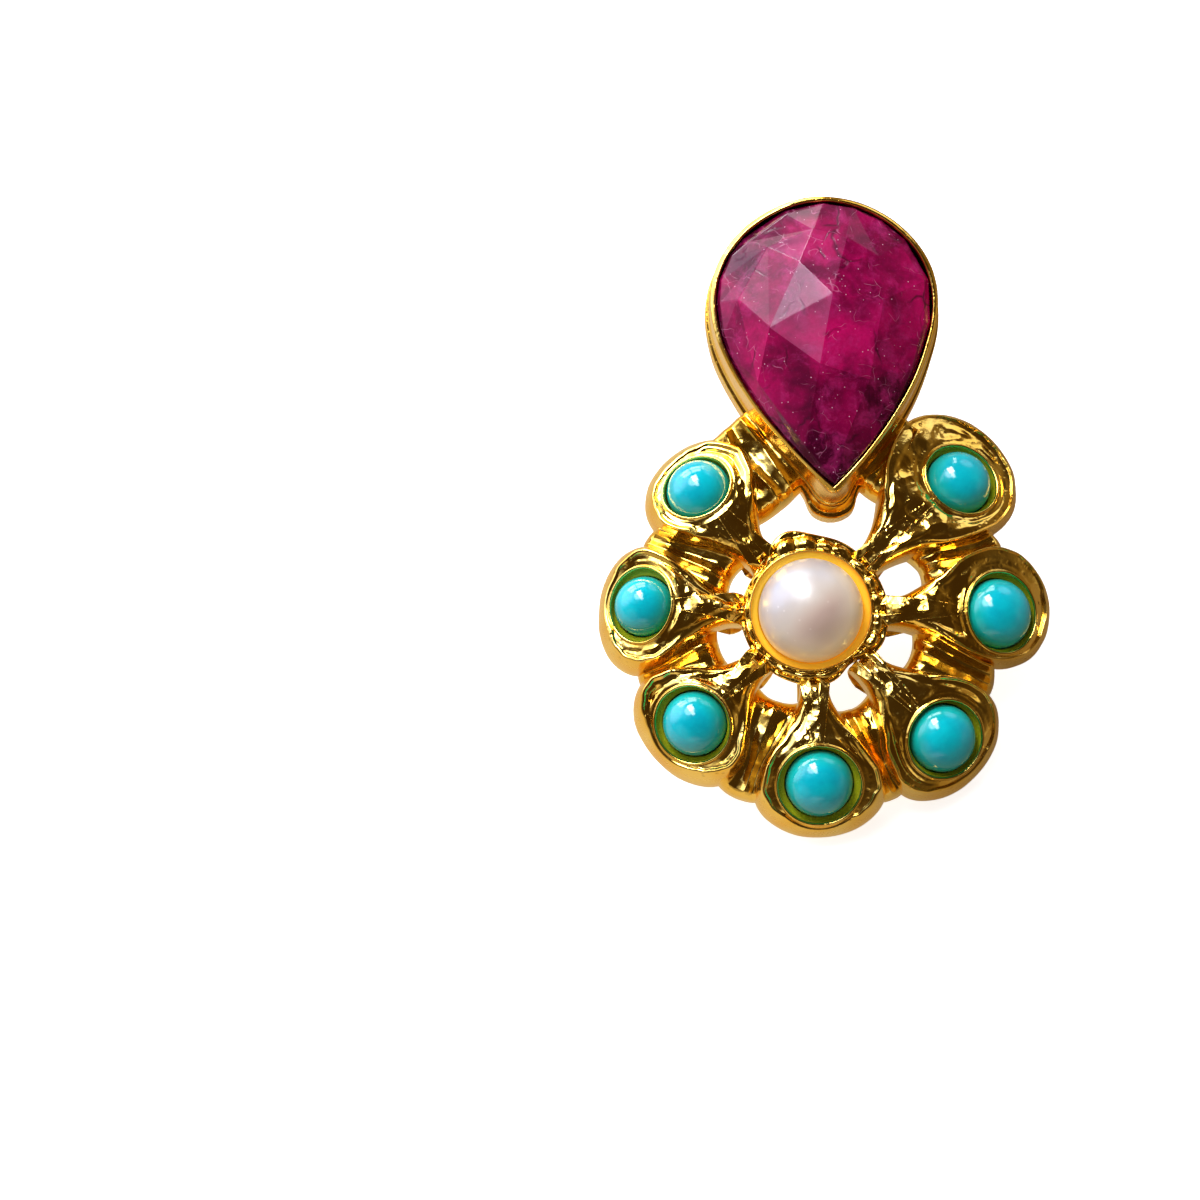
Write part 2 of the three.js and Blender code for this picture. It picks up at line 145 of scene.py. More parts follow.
mount = frame["record"]["mounts"][0]
FACE_OUT = -np.array(mount["axis"], float)
FACE_OUT /= np.linalg.norm(FACE_OUT)
FACE_UP = np.array([0.0, FACE_OUT[2], -FACE_OUT[1]])
FACE_UP /= np.linalg.norm(FACE_UP)
FACE_RIGHT = np.cross(FACE_UP, FACE_OUT)
FACE_TURN = np.stack([FACE_RIGHT, FACE_UP, FACE_OUT], axis=1)
FACE_ORIGIN = np.array(mount["pos_m"], float) - FACE_TURN @ (LOBE_POINT / 1000)


def in_row_frame(points):
    """Face-frame points in millimetres, turned and moved to the row frame, in metres."""
    return FACE_ORIGIN + (np.asarray(points, float) / 1000) @ FACE_TURN.T


# ---- numbers that look hand-made -------------------------------------------------------------------------

CELL_STRIDES = np.array([73856093, 19349663, 83492791], np.int64)


def cell_number(cells, seed):
    """A fixed number from 0 to 1 for each whole-number cell: its coordinates times large primes, stirred.
    Seeds mean nothing by themselves; another seed gives other numbers."""
    mixed = (cells * CELL_STRIDES[: cells.shape[-1]]).sum(-1) + seed * 7919
    mixed = (((mixed >> 13) ^ mixed) * 1274126177) & 0xFFFFFFFF
    mixed = (((mixed >> 15) ^ mixed) * 668265263) & 0xFFFFFFFF
    return ((mixed >> 9) & 0xFFFF) / 65535.0


def swells(points, size, seed):
    """Smooth swells about size apart, from -1 to 1: cell numbers blended between each cell's corners."""
    scaled = points / size
    base = np.floor(scaled).astype(np.int64)
    part = scaled - base
    part = part * part * (3 - 2 * part)
    total = np.zeros(points.shape[:-1])
    for corner in itertools.product((0, 1), repeat=points.shape[-1]):
        weight = np.prod(np.where(corner, part, 1 - part), axis=-1)
        total += weight * cell_number(base + np.array(corner), seed)
    return 2 * total - 1


def hammer_pans(points, size, seed):
    """Shallow pans that meet in ridges, from 0 in a pan to about 1 on a ridge: the squared distance, in
    pan sizes, to the nearest of points scattered one to a cell."""
    scaled = points / size
    base = np.floor(scaled).astype(np.int64)
    nearest = np.full(points.shape[:-1], 4.0)
    for step in itertools.product((-1, 0, 1), repeat=points.shape[-1]):
        cell = base + np.array(step)
        place = cell + np.stack([cell_number(cell, seed + 11 * k) for k in range(points.shape[-1])], -1)
        nearest = np.minimum(nearest, ((scaled - place) ** 2).sum(-1))
    return np.minimum(nearest, 1.0)


def smoothstep(low, high, value):
    """0 up to low, 1 from high on, and an even S between."""
    share = np.clip((value - low) / (high - low), 0, 1)
    return share * share * (3 - 2 * share)


# ---- meshes ----------------------------------------------------------------------------------------------


def closed_grid(rings, first_pole=None, last_pole=None):
    """A closed surface through rings of points: neighbouring rings are joined by quads all the way round,
    and each end ring is closed by triangles to a pole, its mean unless one is given."""
    rows, columns = rings.shape[:2]
    first = rings[0].mean(0) if first_pole is None else np.asarray(first_pole, float)
    last = rings[-1].mean(0) if last_pole is None else np.asarray(last_pole, float)
    points = np.vstack([rings.reshape(-1, 3), first, last])
    row, column = np.meshgrid(np.arange(rows - 1), np.arange(columns), indexing="ij")
    after = (column + 1) % columns
    quads = np.stack([row * columns + column, row * columns + after,
                      (row + 1) * columns + after, (row + 1) * columns + column], -1).reshape(-1, 4)
    around = np.arange(columns)
    onward = (around + 1) % columns
    end = (rows - 1) * columns
    caps = np.concatenate([
        np.stack([onward, around, np.full(columns, rows * columns)], -1),
        np.stack([end + around, end + onward, np.full(columns, rows * columns + 1)], -1),
    ])
    return faced_outwards(points, quads, caps)


def pillow(top, low):
    """A closed surface from two grids of points, one over the other: each grid's own quads, and quads
    between their borders."""
    rows, columns = top.shape[:2]
    points = np.concatenate([top.reshape(-1, 3), low.reshape(-1, 3)])
    place = np.arange(rows * columns).reshape(rows, columns)
    over = np.stack([place[:-1, :-1], place[1:, :-1], place[1:, 1:], place[:-1, 1:]], -1).reshape(-1, 4)
    border = np.concatenate([place[0, :-1], place[:-1, -1], place[-1, :0:-1], place[:0:-1, 0]])
    after = np.roll(border, -1)
    below = rows * columns
    sides = np.stack([border, after, after + below, border + below], -1)
    return faced_outwards(points, np.concatenate([over, over[:, ::-1] + below, sides]),
                          np.zeros((0, 3), int))


def faced_outwards(points, quads, caps):
    """The same surface, with every face turned round when it encloses a negative volume."""
    corners, fans = points[quads], points[caps]
    volume = (np.einsum("ij,ij->", corners[:, 0], np.cross(corners[:, 1], corners[:, 2]))
              + np.einsum("ij,ij->", corners[:, 0], np.cross(corners[:, 2], corners[:, 3]))
              + np.einsum("ij,ij->", fans[:, 0], np.cross(fans[:, 1], fans[:, 2])))
    if volume < 0:
        quads, caps = quads[:, ::-1], caps[:, ::-1]
    return points, quads, caps


def lay_piece(name, surface, material, nodes, values=None):
    """Makes the mesh of a closed surface in the row frame, with each named value stored at its points:
    one number for them all, or one each."""
    points, quads, caps = surface
    mesh = bpy.data.meshes.new(name)
    loops = np.concatenate([quads.ravel(), caps.ravel()])
    starts = np.concatenate([np.arange(len(quads)) * 4, len(quads) * 4 + np.arange(len(caps)) * 3])
    mesh.vertices.add(len(points))
    mesh.loops.add(len(loops))
    mesh.polygons.add(len(starts))
    mesh.vertices.foreach_set("co", in_row_frame(points).astype(np.float32).ravel())
    mesh.loops.foreach_set("vertex_index", loops.astype(np.int32))
    mesh.polygons.foreach_set("loop_start", starts.astype(np.int32))
    mesh.polygons.foreach_set("use_smooth", np.ones(len(starts), bool))
    for key, numbers in (values or {}).items():
        layer = mesh.attributes.new(key, "FLOAT", "POINT")
        layer.data.foreach_set("value", np.ones(len(points), np.float32) * np.float32(numbers))
    mesh.update(calc_edges=True)
    mesh.validate()
    settle(bpy.data.objects.new(name, mesh), material, nodes)


def lay_gold(name, surface, material, worked, **values):
    """Lays a piece of the gold setting, with how brightly each of its points is worked and polished."""
    lay_piece(name, surface, material, ["gold_setting"], {"hammered": worked, **values})


def settle(piece, material, nodes):
    """Puts a finished piece in the scene: its material, its body and what it replaces."""
    bpy.context.scene.collection.objects.link(piece)
    piece.data.materials.append(material)
    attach(piece, "root")
    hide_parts(*nodes)
    return piece


def circle_of(columns):
    """Points evenly spaced round a circle of radius 1."""
    heading = np.linspace(0, 2 * math.pi, columns, endpoint=False)
    return np.stack([np.cos(heading), np.sin(heading)], 1)


def at_level(plan, level):
    """Plan points at one height, or each at its own."""
    return np.column_stack([plan, np.broadcast_to(level, len(plan))])


def with_poles(values):
    """A value for every point of a closed grid: the grid's own, then each end ring's mean for its pole."""
    return np.concatenate([values.ravel(), [values[0].mean(), values[-1].mean()]])


def through_rows(rows, *poles, degrees=0.0):
    """The closed surface through rows, each a ring of points and how brightly it is polished, turned about
    the pearl's axis. Gives the surface and the polish at every point."""
    rings = turned_about_pearl(np.array([ring for ring, _ in rows]), degrees)
    worked = np.array([np.full(rings.shape[1], bright) for _, bright in rows])
    return closed_grid(rings, *poles), with_poles(worked)


def turned_about_pearl(points, degrees):
    """Points turned about the pearl's axis."""
    angle = math.radians(degrees)
    turn = np.array([[math.cos(angle), -math.sin(angle), 0], [math.sin(angle), math.cos(angle), 0],
                     [0, 0, 1]])
    return points @ turn.T


# ---- materials -------------------------------------------------------------------------------------------


class Sheet:
    """A node sheet of a material, group or world: adds nodes, fills their inputs and joins them up."""

    def __init__(self, tree):
        self.tree = tree

    def join(self, node, *inputs):
        """Gives inputs of a node, each by name or number, a value or another node's output."""
        for name, value in inputs:
            if isinstance(value, bpy.types.NodeSocket):
                self.tree.links.new(value, node.inputs[name])
            else:
                node.inputs[name].default_value = value
        return node

    def fill(self, node, **inputs):
        """Fills inputs of a node by name, with an underscore for each space."""
        return self.join(node, *((name.replace("_", " "), value) for name, value in inputs.items()))

    def add(self, kind, settings=None, **inputs):
        node = self.tree.nodes.new("ShaderNode" + kind)
        for key, value in (settings or {}).items():
            setattr(node, key, value)
        return self.fill(node, **inputs)

    def noise(self, place, scale, detail, roughness=0.5):
        """Cloudy noise, from 0 to 1."""
        return self.add("TexNoise", Vector=place, Scale=scale, Detail=detail, Roughness=roughness).outputs[0]

    def cells(self, place, scale, feature="F1"):
        """The distance to the nearest cell's middle, or with DISTANCE_TO_EDGE to the nearest border."""
        return self.add("TexVoronoi", {"feature": feature}, Vector=place, Scale=scale).outputs["Distance"]

    def stored(self, name):
        """A value that is stored on the piece."""
        return self.add("Attribute", {"attribute_name": name}).outputs["Fac"]

    def math(self, operation, first, second=0.0, clamp=False):
        node = self.add("Math", {"operation": operation, "use_clamp": clamp})
        return self.join(node, (0, first), (1, second)).outputs[0]

    def times(self, first, second):
        return self.math("MULTIPLY", first, second)

    def plus(self, first, second, clamp=False):
        return self.math("ADD", first, second, clamp)

    def minus(self, first, second):
        return self.math("SUBTRACT", first, second)

    def dot(self, vector, axis):
        """How far a vector reaches along an axis."""
        node = self.add("VectorMath", {"operation": "DOT_PRODUCT"})
        return self.join(node, (0, vector), (1, axis)).outputs["Value"]

    def between(self, value, low, high, to_low=0.0, to_high=1.0):
        """value taken from low..high to to_low..to_high, and held at the ends."""
        return self.add("MapRange", Value=value, From_Min=low, From_Max=high, To_Min=to_low,
                        To_Max=to_high).outputs["Result"]

    def blend(self, share, first, second, how="MIX"):
        """A colour between first and second."""
        node = self.add("Mix", {"data_type": "RGBA", "blend_type": how})
        return self.join(node, (0, share), (6, first), (7, second)).outputs[2]

    def layers(self, color, *coats):
        """A colour under coats, each a share and a colour, with the last one on top."""
        for share, coat in coats:
            color = self.blend(share, color, rgb(*coat))
        return color

    def bump(self, height, strength, distance):
        return self.add("Bump", Strength=strength, Distance=distance, Height=height).outputs["Normal"]


def rgb(red, green, blue):
    return (red, green, blue, 1.0)


def new_group(name, inputs, outputs):
    """An empty node group with named inputs (name, kind, value) and outputs (name, kind)."""
    group = bpy.data.node_groups.new(name, "ShaderNodeTree")
    for label, kind, value in inputs:
        socket = group.interface.new_socket(name=label, in_out="INPUT", socket_type="NodeSocket" + kind)
        if value is not None:
            socket.default_value = value
    for label, kind in outputs:
        group.interface.new_socket(name=label, in_out="OUTPUT", socket_type="NodeSocket" + kind)
    return group, Sheet(group), group.nodes.new("NodeGroupInput").outputs, group.nodes.new("NodeGroupOutput")


def cast_gold_group():
    """Cast and plated gold: shallow ripples, small pits and grain as a height, dulled and darkened where the
    pits are, and a slow change of tone from yellow to orange."""
    group, sheet, given, out = new_group(
        "cast_gold",
        [("Position", "Vector", None), ("Pits", "Float", 0.5), ("Ripple", "Float", 0.5),
         ("Dullness", "Float", 0.1), ("Bright Gold", "Color", rgb(1.0, 0.70, 0.17)),
         ("Deep Gold", "Color", rgb(0.96, 0.57, 0.08))],
        [("Color", "Color"), ("Roughness", "Float"), ("Height", "Float")],
    )
    place = given["Position"]
    grain = sheet.noise(place, 9000.0, 2.0, 0.6)
    pit = sheet.times(sheet.between(sheet.cells(place, 2100.0), 0.12, 0.3, 1.0, 0.0), given["Pits"])
    height = sheet.times(sheet.between(sheet.noise(place, 1500.0, 3.0, 0.55), 0.25, 0.75), given["Ripple"])
    height = sheet.plus(sheet.minus(height, sheet.times(pit, 0.8)), sheet.times(grain, 0.05))
    tone = sheet.between(sheet.noise(place, 420.0, 2.0, 0.5), 0.35, 0.65)
    color = sheet.blend(tone, given["Bright Gold"], given["Deep Gold"])
    color = sheet.layers(color, (sheet.times(pit, 0.55), (0.30, 0.12, 0.02)))
    rough = sheet.plus(given["Dullness"], sheet.times(pit, 0.25))
    rough = sheet.plus(rough, sheet.between(grain, 0.3, 0.7, -0.01, 0.05))
    sheet.fill(out, Color=color, Roughness=rough, Height=height)
    return group


CAST_GOLD = cast_gold_group()


def new_material(name):
    """A new material, its sheet, its shader joined to the output, and the place on the piece."""
    material = bpy.data.materials.new(name)
    material.use_nodes = True
    material.node_tree.nodes.clear()
    sheet = Sheet(material.node_tree)
    shader = sheet.add("BsdfPrincipled")
    sheet.add("OutputMaterial", Surface=shader.outputs[0])
    return material, sheet, shader, sheet.add("TexCoord").outputs["Object"]


# Painted light colours for the gold: lime, partly a painted green reflection of the turquoise; orange,
# painted light.
LIME_AND_PAINTED_REFLECTION, ORANGE_PAINTED_LIGHT = (0.42, 0.42, 0.012), (1.0, 0.57, 0.035)


def gold_material(name, pits, ripple, polish, satin, matte=ORANGE_PAINTED_LIGHT, glow=0.0):
    """Gold that is polished where the piece's hammered value is 1 and satin where it is 0. Where its painted
    light value is 1 it turns to a soft, less metallic colour that paints light in, which glow makes shine a
    little by itself as more painted light."""
    material, sheet, shader, place = new_material(name)
    # soft: where the painted light colour and its glow take over from the metal.
    worked, soft = sheet.stored("hammered"), sheet.stored("matte")
    metal = sheet.add(
        "Group", {"node_tree": CAST_GOLD}, Position=place, Pits=sheet.times(worked, pits),
        Ripple=sheet.between(worked, 0, 1, ripple * 0.35, ripple),
        Dullness=sheet.between(worked, 0, 1, satin, polish)).outputs
    sheet.fill(
        shader, Base_Color=sheet.layers(metal["Color"], (soft, matte)), Roughness=metal["Roughness"],
        Metallic=sheet.between(soft, 0, 1, 1.0, 0.3), Emission_Color=rgb(*matte),
        Emission_Strength=sheet.times(soft, glow), Normal=sheet.bump(metal["Height"], 0.6, 0.00006))
    return material


def turquoise_material(name, seed):
    """Blue-green stone under a gloss polish: soft cloudy patches, paler veils and a greener rim."""
    material, sheet, shader, place = new_material(name)
    place = sheet.add("Mapping", Vector=place, Location=(seed * 0.013, seed * 0.007, 0.0)).outputs[0]
    veil = sheet.noise(place, 2600.0, 4.0, 0.6)
    color = sheet.layers(
        rgb(0.0005, 0.33, 0.41),
        (sheet.between(sheet.noise(place, 700.0, 3.0, 0.55), 0.35, 0.7), (0.001, 0.43, 0.49)),
        (sheet.times(sheet.between(veil, 0.55, 0.75), 0.25), (0.01, 0.52, 0.56)),
        (sheet.times(sheet.stored("rim"), 0.6), (0.005, 0.32, 0.19)))
    sheet.fill(
        shader, Base_Color=color, Roughness=sheet.between(veil, 0.3, 0.7, 0.06, 0.11),
        Subsurface_Weight=0.15, Subsurface_Radius=(0.2, 0.8, 0.9), Subsurface_Scale=0.0005,
        Coat_Weight=0.4, Coat_Roughness=0.02, Normal=sheet.bump(veil, 0.05, 0.00003))
    return material


def pearl_material():
    """Nacre: lilac-grey and darker on one side and paler peach on the other, painted shade and painted light
    that even out how the room lights it. On the peach side it is browner in the middle, a painted reflection
    of the dark room, and warmer at the rim, painted light from the gold and the floor. It has small pale
    specks, fine growth ripples and a broad soft lustre."""
    material, sheet, shader, place = new_material("nacre")
    warm = FACE_TURN @ PEARL_PAINTED_LIGHT_WAY
    low, high = (float(in_row_frame(PEARL_PAINTED_LIGHT_WAY * far + [0, 0, PEARL_PAINTED_LIGHT_LEVEL]) @ warm)
                 for far in (-PEARL_PAINTED_LIGHT_REACH, PEARL_PAINTED_LIGHT_REACH))
    drift = sheet.between(sheet.noise(place, 260.0, 2.0, 0.5), 0.3, 0.7, -0.12, 0.12)
    # side: painted shade on the lilac side and painted light on the peach side, with a little random drift.
    side = sheet.plus(sheet.between(sheet.dot(place, tuple(warm)), low, high), drift, clamp=True)
    facing = sheet.add("LayerWeight", Blend=0.45).outputs["Facing"]
    # middle: a painted reflection of the dark room, browner in the pearl's middle.
    middle = sheet.times(sheet.between(facing, 0.08, 0.34, 0.7, 0.0), sheet.between(side, 0.40, 0.66))
    # rim: painted light from the gold and the floor, warmer at the pearl's rim.
    rim = sheet.times(sheet.between(facing, 0.3, 0.85), sheet.between(side, 0.15, 0.6, 0.1, 1.0))
    specks = sheet.between(sheet.cells(place, 1500.0), 0.05, 0.14, 1.0, 0.0)
    # The base colour takes the painted shade and light of the two sides, the painted reflection and rim
    # light, then real specks.
    color = sheet.layers(
        rgb(0.27, 0.265, 0.29), (side, (1.0, 0.82, 0.62)), (middle, (0.48, 0.31, 0.27)),
        (rim, (1.0, 0.80, 0.55)), (sheet.times(specks, 0.25), (0.95, 0.88, 0.84)))
    fine = sheet.noise(place, 2400.0, 3.0, 0.6)
    sheet.fill(
        shader, Base_Color=color, Roughness=sheet.between(fine, 0.3, 0.7, 0.34, 0.38), IOR=1.45,
        Specular_IOR_Level=0.5, Subsurface_Weight=0.2, Subsurface_Radius=(0.9, 0.7, 0.6),
        Subsurface_Scale=0.0010, Coat_Weight=0.9, Coat_Roughness=0.33, Coat_IOR=1.9,
        Normal=sheet.bump(fine, 0.04, 0.00003))
    return material


def ruby_material():
    """Included ruby under polished facets: a crimson to magenta body, darker towards the tip, with brighter
    clouds, grain, dark cracks, pale curved hairlines and specks. Each facet has its own painted tone: a
    clouded painted haze that stands for the room's light reflected in it, a painted glow of light inside the
    stone, and painted shade."""
    material, sheet, shader, place = new_material("included_ruby")
    bend = sheet.add("TexNoise", Vector=place, Scale=300.0, Detail=3.0, Roughness=0.6).outputs["Color"]
    bent = sheet.add("Mix", {"data_type": "VECTOR"})
    bent = sheet.join(bent, (0, 0.0022), (4, place), (5, bend)).outputs[1]
    # Per facet: painted haze (reflected room light), painted glow of light inside the stone, and painted
    # shade.
    painted_haze, painted_glow, shade = (sheet.stored(key) for key in ("painted_haze", "painted_glow", "shade"))
    zone = sheet.noise(bent, 230.0, 4.0, 0.6)
    cloud = sheet.noise(bent, 800.0, 6.0, 0.7)
    grain = sheet.noise(place, 5200.0, 4.0, 0.75)
    low, high = (float(in_row_frame([1.3, y, 6.0]) @ FACE_UP) for y in (RUBY_DARK_TO, RUBY_DARK_FROM))
    tipward = sheet.between(sheet.dot(place, tuple(FACE_UP)), low, high, 0.6, 0.0)
    # dark: the facets' painted shade, more towards the tip and in the body's darker zones.
    dark = sheet.plus(sheet.plus(sheet.times(shade, 0.6), tipward),
                      sheet.between(zone, 0.36, 0.57, 0.7, 0.0), clamp=True)
    crack = sheet.times(
        sheet.between(sheet.cells(bent, 330.0, "DISTANCE_TO_EDGE"), 0.0, 0.035, 1.0, 0.0),
        sheet.between(sheet.noise(place, 420.0, 2.0), 0.52, 0.60))
    hairline = sheet.times(
        sheet.between(sheet.cells(bent, 800.0, "DISTANCE_TO_EDGE"), 0.0, 0.02, 1.0, 0.0),
        sheet.between(sheet.noise(place, 1100.0, 1.0), 0.55, 0.66))
    color = sheet.layers(
        rgb(0.17, 0.0006, 0.034),
        (sheet.between(zone, 0.45, 0.66), (0.40, 0.001, 0.080)),
        (sheet.times(painted_glow, 0.6), (0.55, 0.010, 0.125)),
        (dark, (0.045, 0.0008, 0.011)),
        (sheet.times(sheet.between(cloud, 0.50, 0.66), 0.45), (0.42, 0.018, 0.14)),
        (sheet.between(grain, 0.30, 0.52, 0.30, 0.0), (0.08, 0.002, 0.03)),
        (sheet.between(grain, 0.56, 0.72, 0.0, 0.15), (0.48, 0.05, 0.20)),
        (sheet.times(crack, 0.9), (0.05, 0.002, 0.014)),
        (sheet.times(hairline, 0.30), (0.68, 0.22, 0.38)),
        (sheet.between(sheet.cells(place, 2300.0), 0.05, 0.10, 0.6, 0.0), (0.78, 0.42, 0.55)),
        (sheet.times(painted_haze, sheet.between(cloud, 0.3, 0.7, 0.6, 1.0)), (0.36, 0.13, 0.24)))
    height = sheet.minus(sheet.minus(sheet.times(grain, 0.35), crack), sheet.times(hairline, 0.5))
    sheet.fill(
        shader, Base_Color=color, Roughness=sheet.between(cloud, 0.3, 0.7, 0.08, 0.16), IOR=1.5,
        Specular_IOR_Level=0.20, Coat_Weight=0.05, Coat_Roughness=0.03, Subsurface_Weight=0.15,
        Subsurface_Radius=(1.0, 0.15, 0.35), Subsurface_Scale=0.0006,
        Normal=sheet.bump(height, 0.22, 0.00005))
    return material


# The cups' bowls turn lime: partly a greenish tint, partly a painted green reflection of the turquoise.
PETAL_GOLD = gold_material("petal_gold", pits=0.5, ripple=0.4, polish=0.09, satin=0.28, matte=LIME_AND_PAINTED_REFLECTION)
WEB_GOLD = gold_material("web_gold", pits=0.3, ripple=0.4, polish=0.09, satin=0.24)
# The seat glows with orange painted light, standing in for light the pearl throws on the shaded seat.
COLLAR_GOLD = gold_material("collar_gold", pits=0.3, ripple=0.4, polish=0.08, satin=0.36, glow=0.21)
BEZEL_GOLD = gold_material("bezel_gold", pits=0.2, ripple=0.4, polish=0.08, satin=0.26)
POST_GOLD = gold_material("post_gold", pits=0.2, ripple=0.25, polish=0.1, satin=0.12)

# ---- petals ----------------------------------------------------------------------------------------------


def petal_face_height(distance):
    """The face's height falls away with the square of the distance from its crest, and levels out before it
    comes down to the petal's back."""
    drop = PETAL_DROOP * (distance - CREST_AT) ** 2
    return PETAL_CREST - drop / (1 + (drop / DEEPEST_DROP) ** 6) ** (1 / 6)


def petal_half(petal, along):
    """Half the petal's width: narrow as far as the neck's end, then opening smoothly to the stone."""
    return NECK_HALF + (petal["half"] - NECK_HALF) * smoothstep(NECK_END, petal["reach"], along)


def petal_outline(petal, count):
    """The petal's widest outline, evenly spaced: out along the right flank, round the end in a half
    ellipse, back along the left flank and across the root."""
    along = np.linspace(PETAL_START, petal["reach"], 120)[:-1]
    turn = np.linspace(0, math.pi, 241)
    flank = np.stack([along, -petal_half(petal, along)], 1)
    end = np.stack([petal["reach"] + petal["end"] * np.sin(turn), -petal["half"] * np.cos(turn)], 1)
    path = np.concatenate([flank, end, flank[::-1] * [1, -1], flank[:1]])
    path[:, 1] += petal["sway"] * smoothstep(NECK_END, petal["reach"], path[:, 0])
    length = np.concatenate([[0], np.cumsum(np.linalg.norm(np.diff(path, axis=0), axis=1))])
    even = np.linspace(0, length[-1], count, endpoint=False)
    return np.stack([np.interp(even, length, path[:, k]) for k in (0, 1)], 1)


def outward(outline):
    """Unit normals of a closed outline that runs anticlockwise, smoothed over three neighbours."""
    along = np.roll(outline, -1, 0) - np.roll(outline, 1, 0)
    normal = np.stack([along[:, 1], -along[:, 0]], 1)
    normal = normal + np.roll(normal, 1, 0) + np.roll(normal, -1, 0)
    return normal / np.linalg.norm(normal, axis=1, keepdims=True)


def cup_points(petal, radius, height, heading, oval):
    """Points of a petal's cup in the petal's frame: an ellipse at a height over the mouth, on a plane that
    leans outwards with the face."""
    lean = math.radians(CUP_LEAN)
    x = radius * oval * np.cos(heading)
    y = radius * np.sin(heading)
    return np.stack([
        petal["reach"] + x * math.cos(lean) + height * math.sin(lean),
        y,
        petal_face_height(petal["reach"]) - x * math.sin(lean) + height * math.cos(lean),
    ], -1)


def lip_size(petal):
    """The outer half width of the lip round a stone, and its length for its width as seen from the front."""
    return petal["mouth"] + CUP_LIP[0][0], petal["oval"] * math.cos(math.radians(CUP_LEAN))


def face_relief(petal, plan, seed):
    """Relief of a petal's face at plan points: a rounded neck, slow rolls and hammered pans, and how far in
    from the border and the lip a point lies, from 0 at them to 1."""
    along, across = plan[:, 0], plan[:, 1] - petal["sway"] * smoothstep(NECK_END, petal["reach"], plan[:, 0])
    half = petal_half(petal, along)
    past = np.maximum(along - petal["reach"], 0) / petal["end"]
    from_border = (1 - np.hypot(past, across / half)) * half - 0.7
    lip_half, narrow = lip_size(petal)
    from_lip = np.hypot((along - petal["reach"]) / narrow, plan[:, 1]) - lip_half
    inner = smoothstep(0.0, 0.45, from_border) * smoothstep(-0.02, 0.5, from_lip)
    neck = 0.25 * (1 - smoothstep(6.5, 9.0, along)) * np.clip(1 - (across / half) ** 2, 0, 1)
    rolls = 0.26 * swells(plan, 2.0, seed + 9) + 0.14 * swells(plan, 1.0, seed + 13)
    pans = 0.15 * hammer_pans(plan, 1.0, seed) + 0.05 * hammer_pans(plan, 0.5, seed + 5) - 0.09
    return neck + rolls + pans - 0.10, np.maximum(inner, 0.35 * (1 - smoothstep(5.0, 6.5, along)))


def wall_rows(petal, outline, normal, shake, seed):
    """A petal's rows across its back, up the bulging wall and over the raised border. Where the cup comes
    close to the outline, the border thins out and the wall rolls straight over to the lip."""
    middle = np.array([petal["reach"], 0.0])
    lip_half, narrow = lip_size(petal)
    offset = outline - middle
    distance = np.linalg.norm(offset, axis=1)
    heading = np.arctan2(offset[:, 1], offset[:, 0])
    lip_reach = 1 / np.hypot(np.cos(heading) / (lip_half * narrow), np.sin(heading) / lip_half)
    room = np.clip((distance - lip_reach - LIP_CLEARANCE) / BORDER_INSET, LEAST_ROOM, 1.0)
    lip_reach = np.minimum(lip_reach + LIP_CLEARANCE, distance - LEAST_ROOM * BORDER_INSET)
    wave = 1 + 0.16 * swells(shake, 0.6, seed + 3)
    neck = 1 - smoothstep(5.6, 8.2, outline[:, 0])
    back_middle = np.array([petal["reach"] - 1.0, petal["sway"] * 0.7])
    for share in (0.25, 0.6):
        ring = back_middle + share * (outline - normal * PETAL_WALL[0][0] - back_middle)
        yield at_level(ring, PETAL_BACK), 0.0
    for inset, rise, proud in PETAL_WALL:
        taper = min(0.45 * (1 - rise), NECK_HALF - 0.15 - inset) * (1 - smoothstep(5.0, 8.0, outline[:, 0]))
        bulge = float(smoothstep(0.4, 0.7, rise)) * smoothstep(6.5, 9.0, outline[:, 0])
        bulge = 1 - (1 - petal["bulge"]) * bulge
        ring = outline - normal * (inset * bulge * (wave if rise > 0.7 else 1.0) + taper)[:, None]
        if rise > 0.3:
            way = ring - middle
            far = np.linalg.norm(way, axis=1)
            far = np.maximum(far, lip_reach + room * (BORDER_INSET - inset))
            ring = middle + way / np.linalg.norm(way, axis=1, keepdims=True) * far[:, None]
        face = petal_face_height(ring[:, 0])
        level = PETAL_BACK + rise * (face - PETAL_BACK) + proud * smoothstep(0.35, 1.0, room)
        if rise > 0.8:
            level = level + neck * (face - 1.1 * (1 - inset / NECK_HALF) ** 2 - level)
        level = level + rise ** 2 * 0.10 * swells(at_level(ring, face), 1.5, seed + 1)
        yield at_level(ring, level), float(smoothstep(0.75, 1.0, rise)) * smoothstep(0.2, 0.9, room)


def face_rows(petal, border, foot, seed):
    """A petal's rows across the dished and hammered face, on straight lines from the border to the lip's
    foot. The relief fades out towards both."""
    foot_lift = foot[:, 2] - petal_face_height(foot[:, 0])
    border_lift = border[:, 2] - petal_face_height(border[:, 0])
    span = np.linalg.norm(foot[:, :2] - border[:, :2], axis=1)
    for share in np.linspace(0, 1, FACE_ROWS)[1:-1]:
        plan = border[:, :2] + share * (foot[:, :2] - border[:, :2])
        lift, inner = face_relief(petal, plan, seed)
        from_border, from_foot = share * span, (1 - share) * span
        lift = lift * smoothstep(0, 0.35, from_border) * smoothstep(0, 0.35, from_foot) * inner
        lift += border_lift * (1 - share) * (1 - smoothstep(0, 0.75, from_border))
        lift += foot_lift * share * (1 - smoothstep(0, 0.75, from_foot))
        yield at_level(plan, petal_face_height(plan[:, 0]) + lift), smoothstep(0.0, 0.4, span)


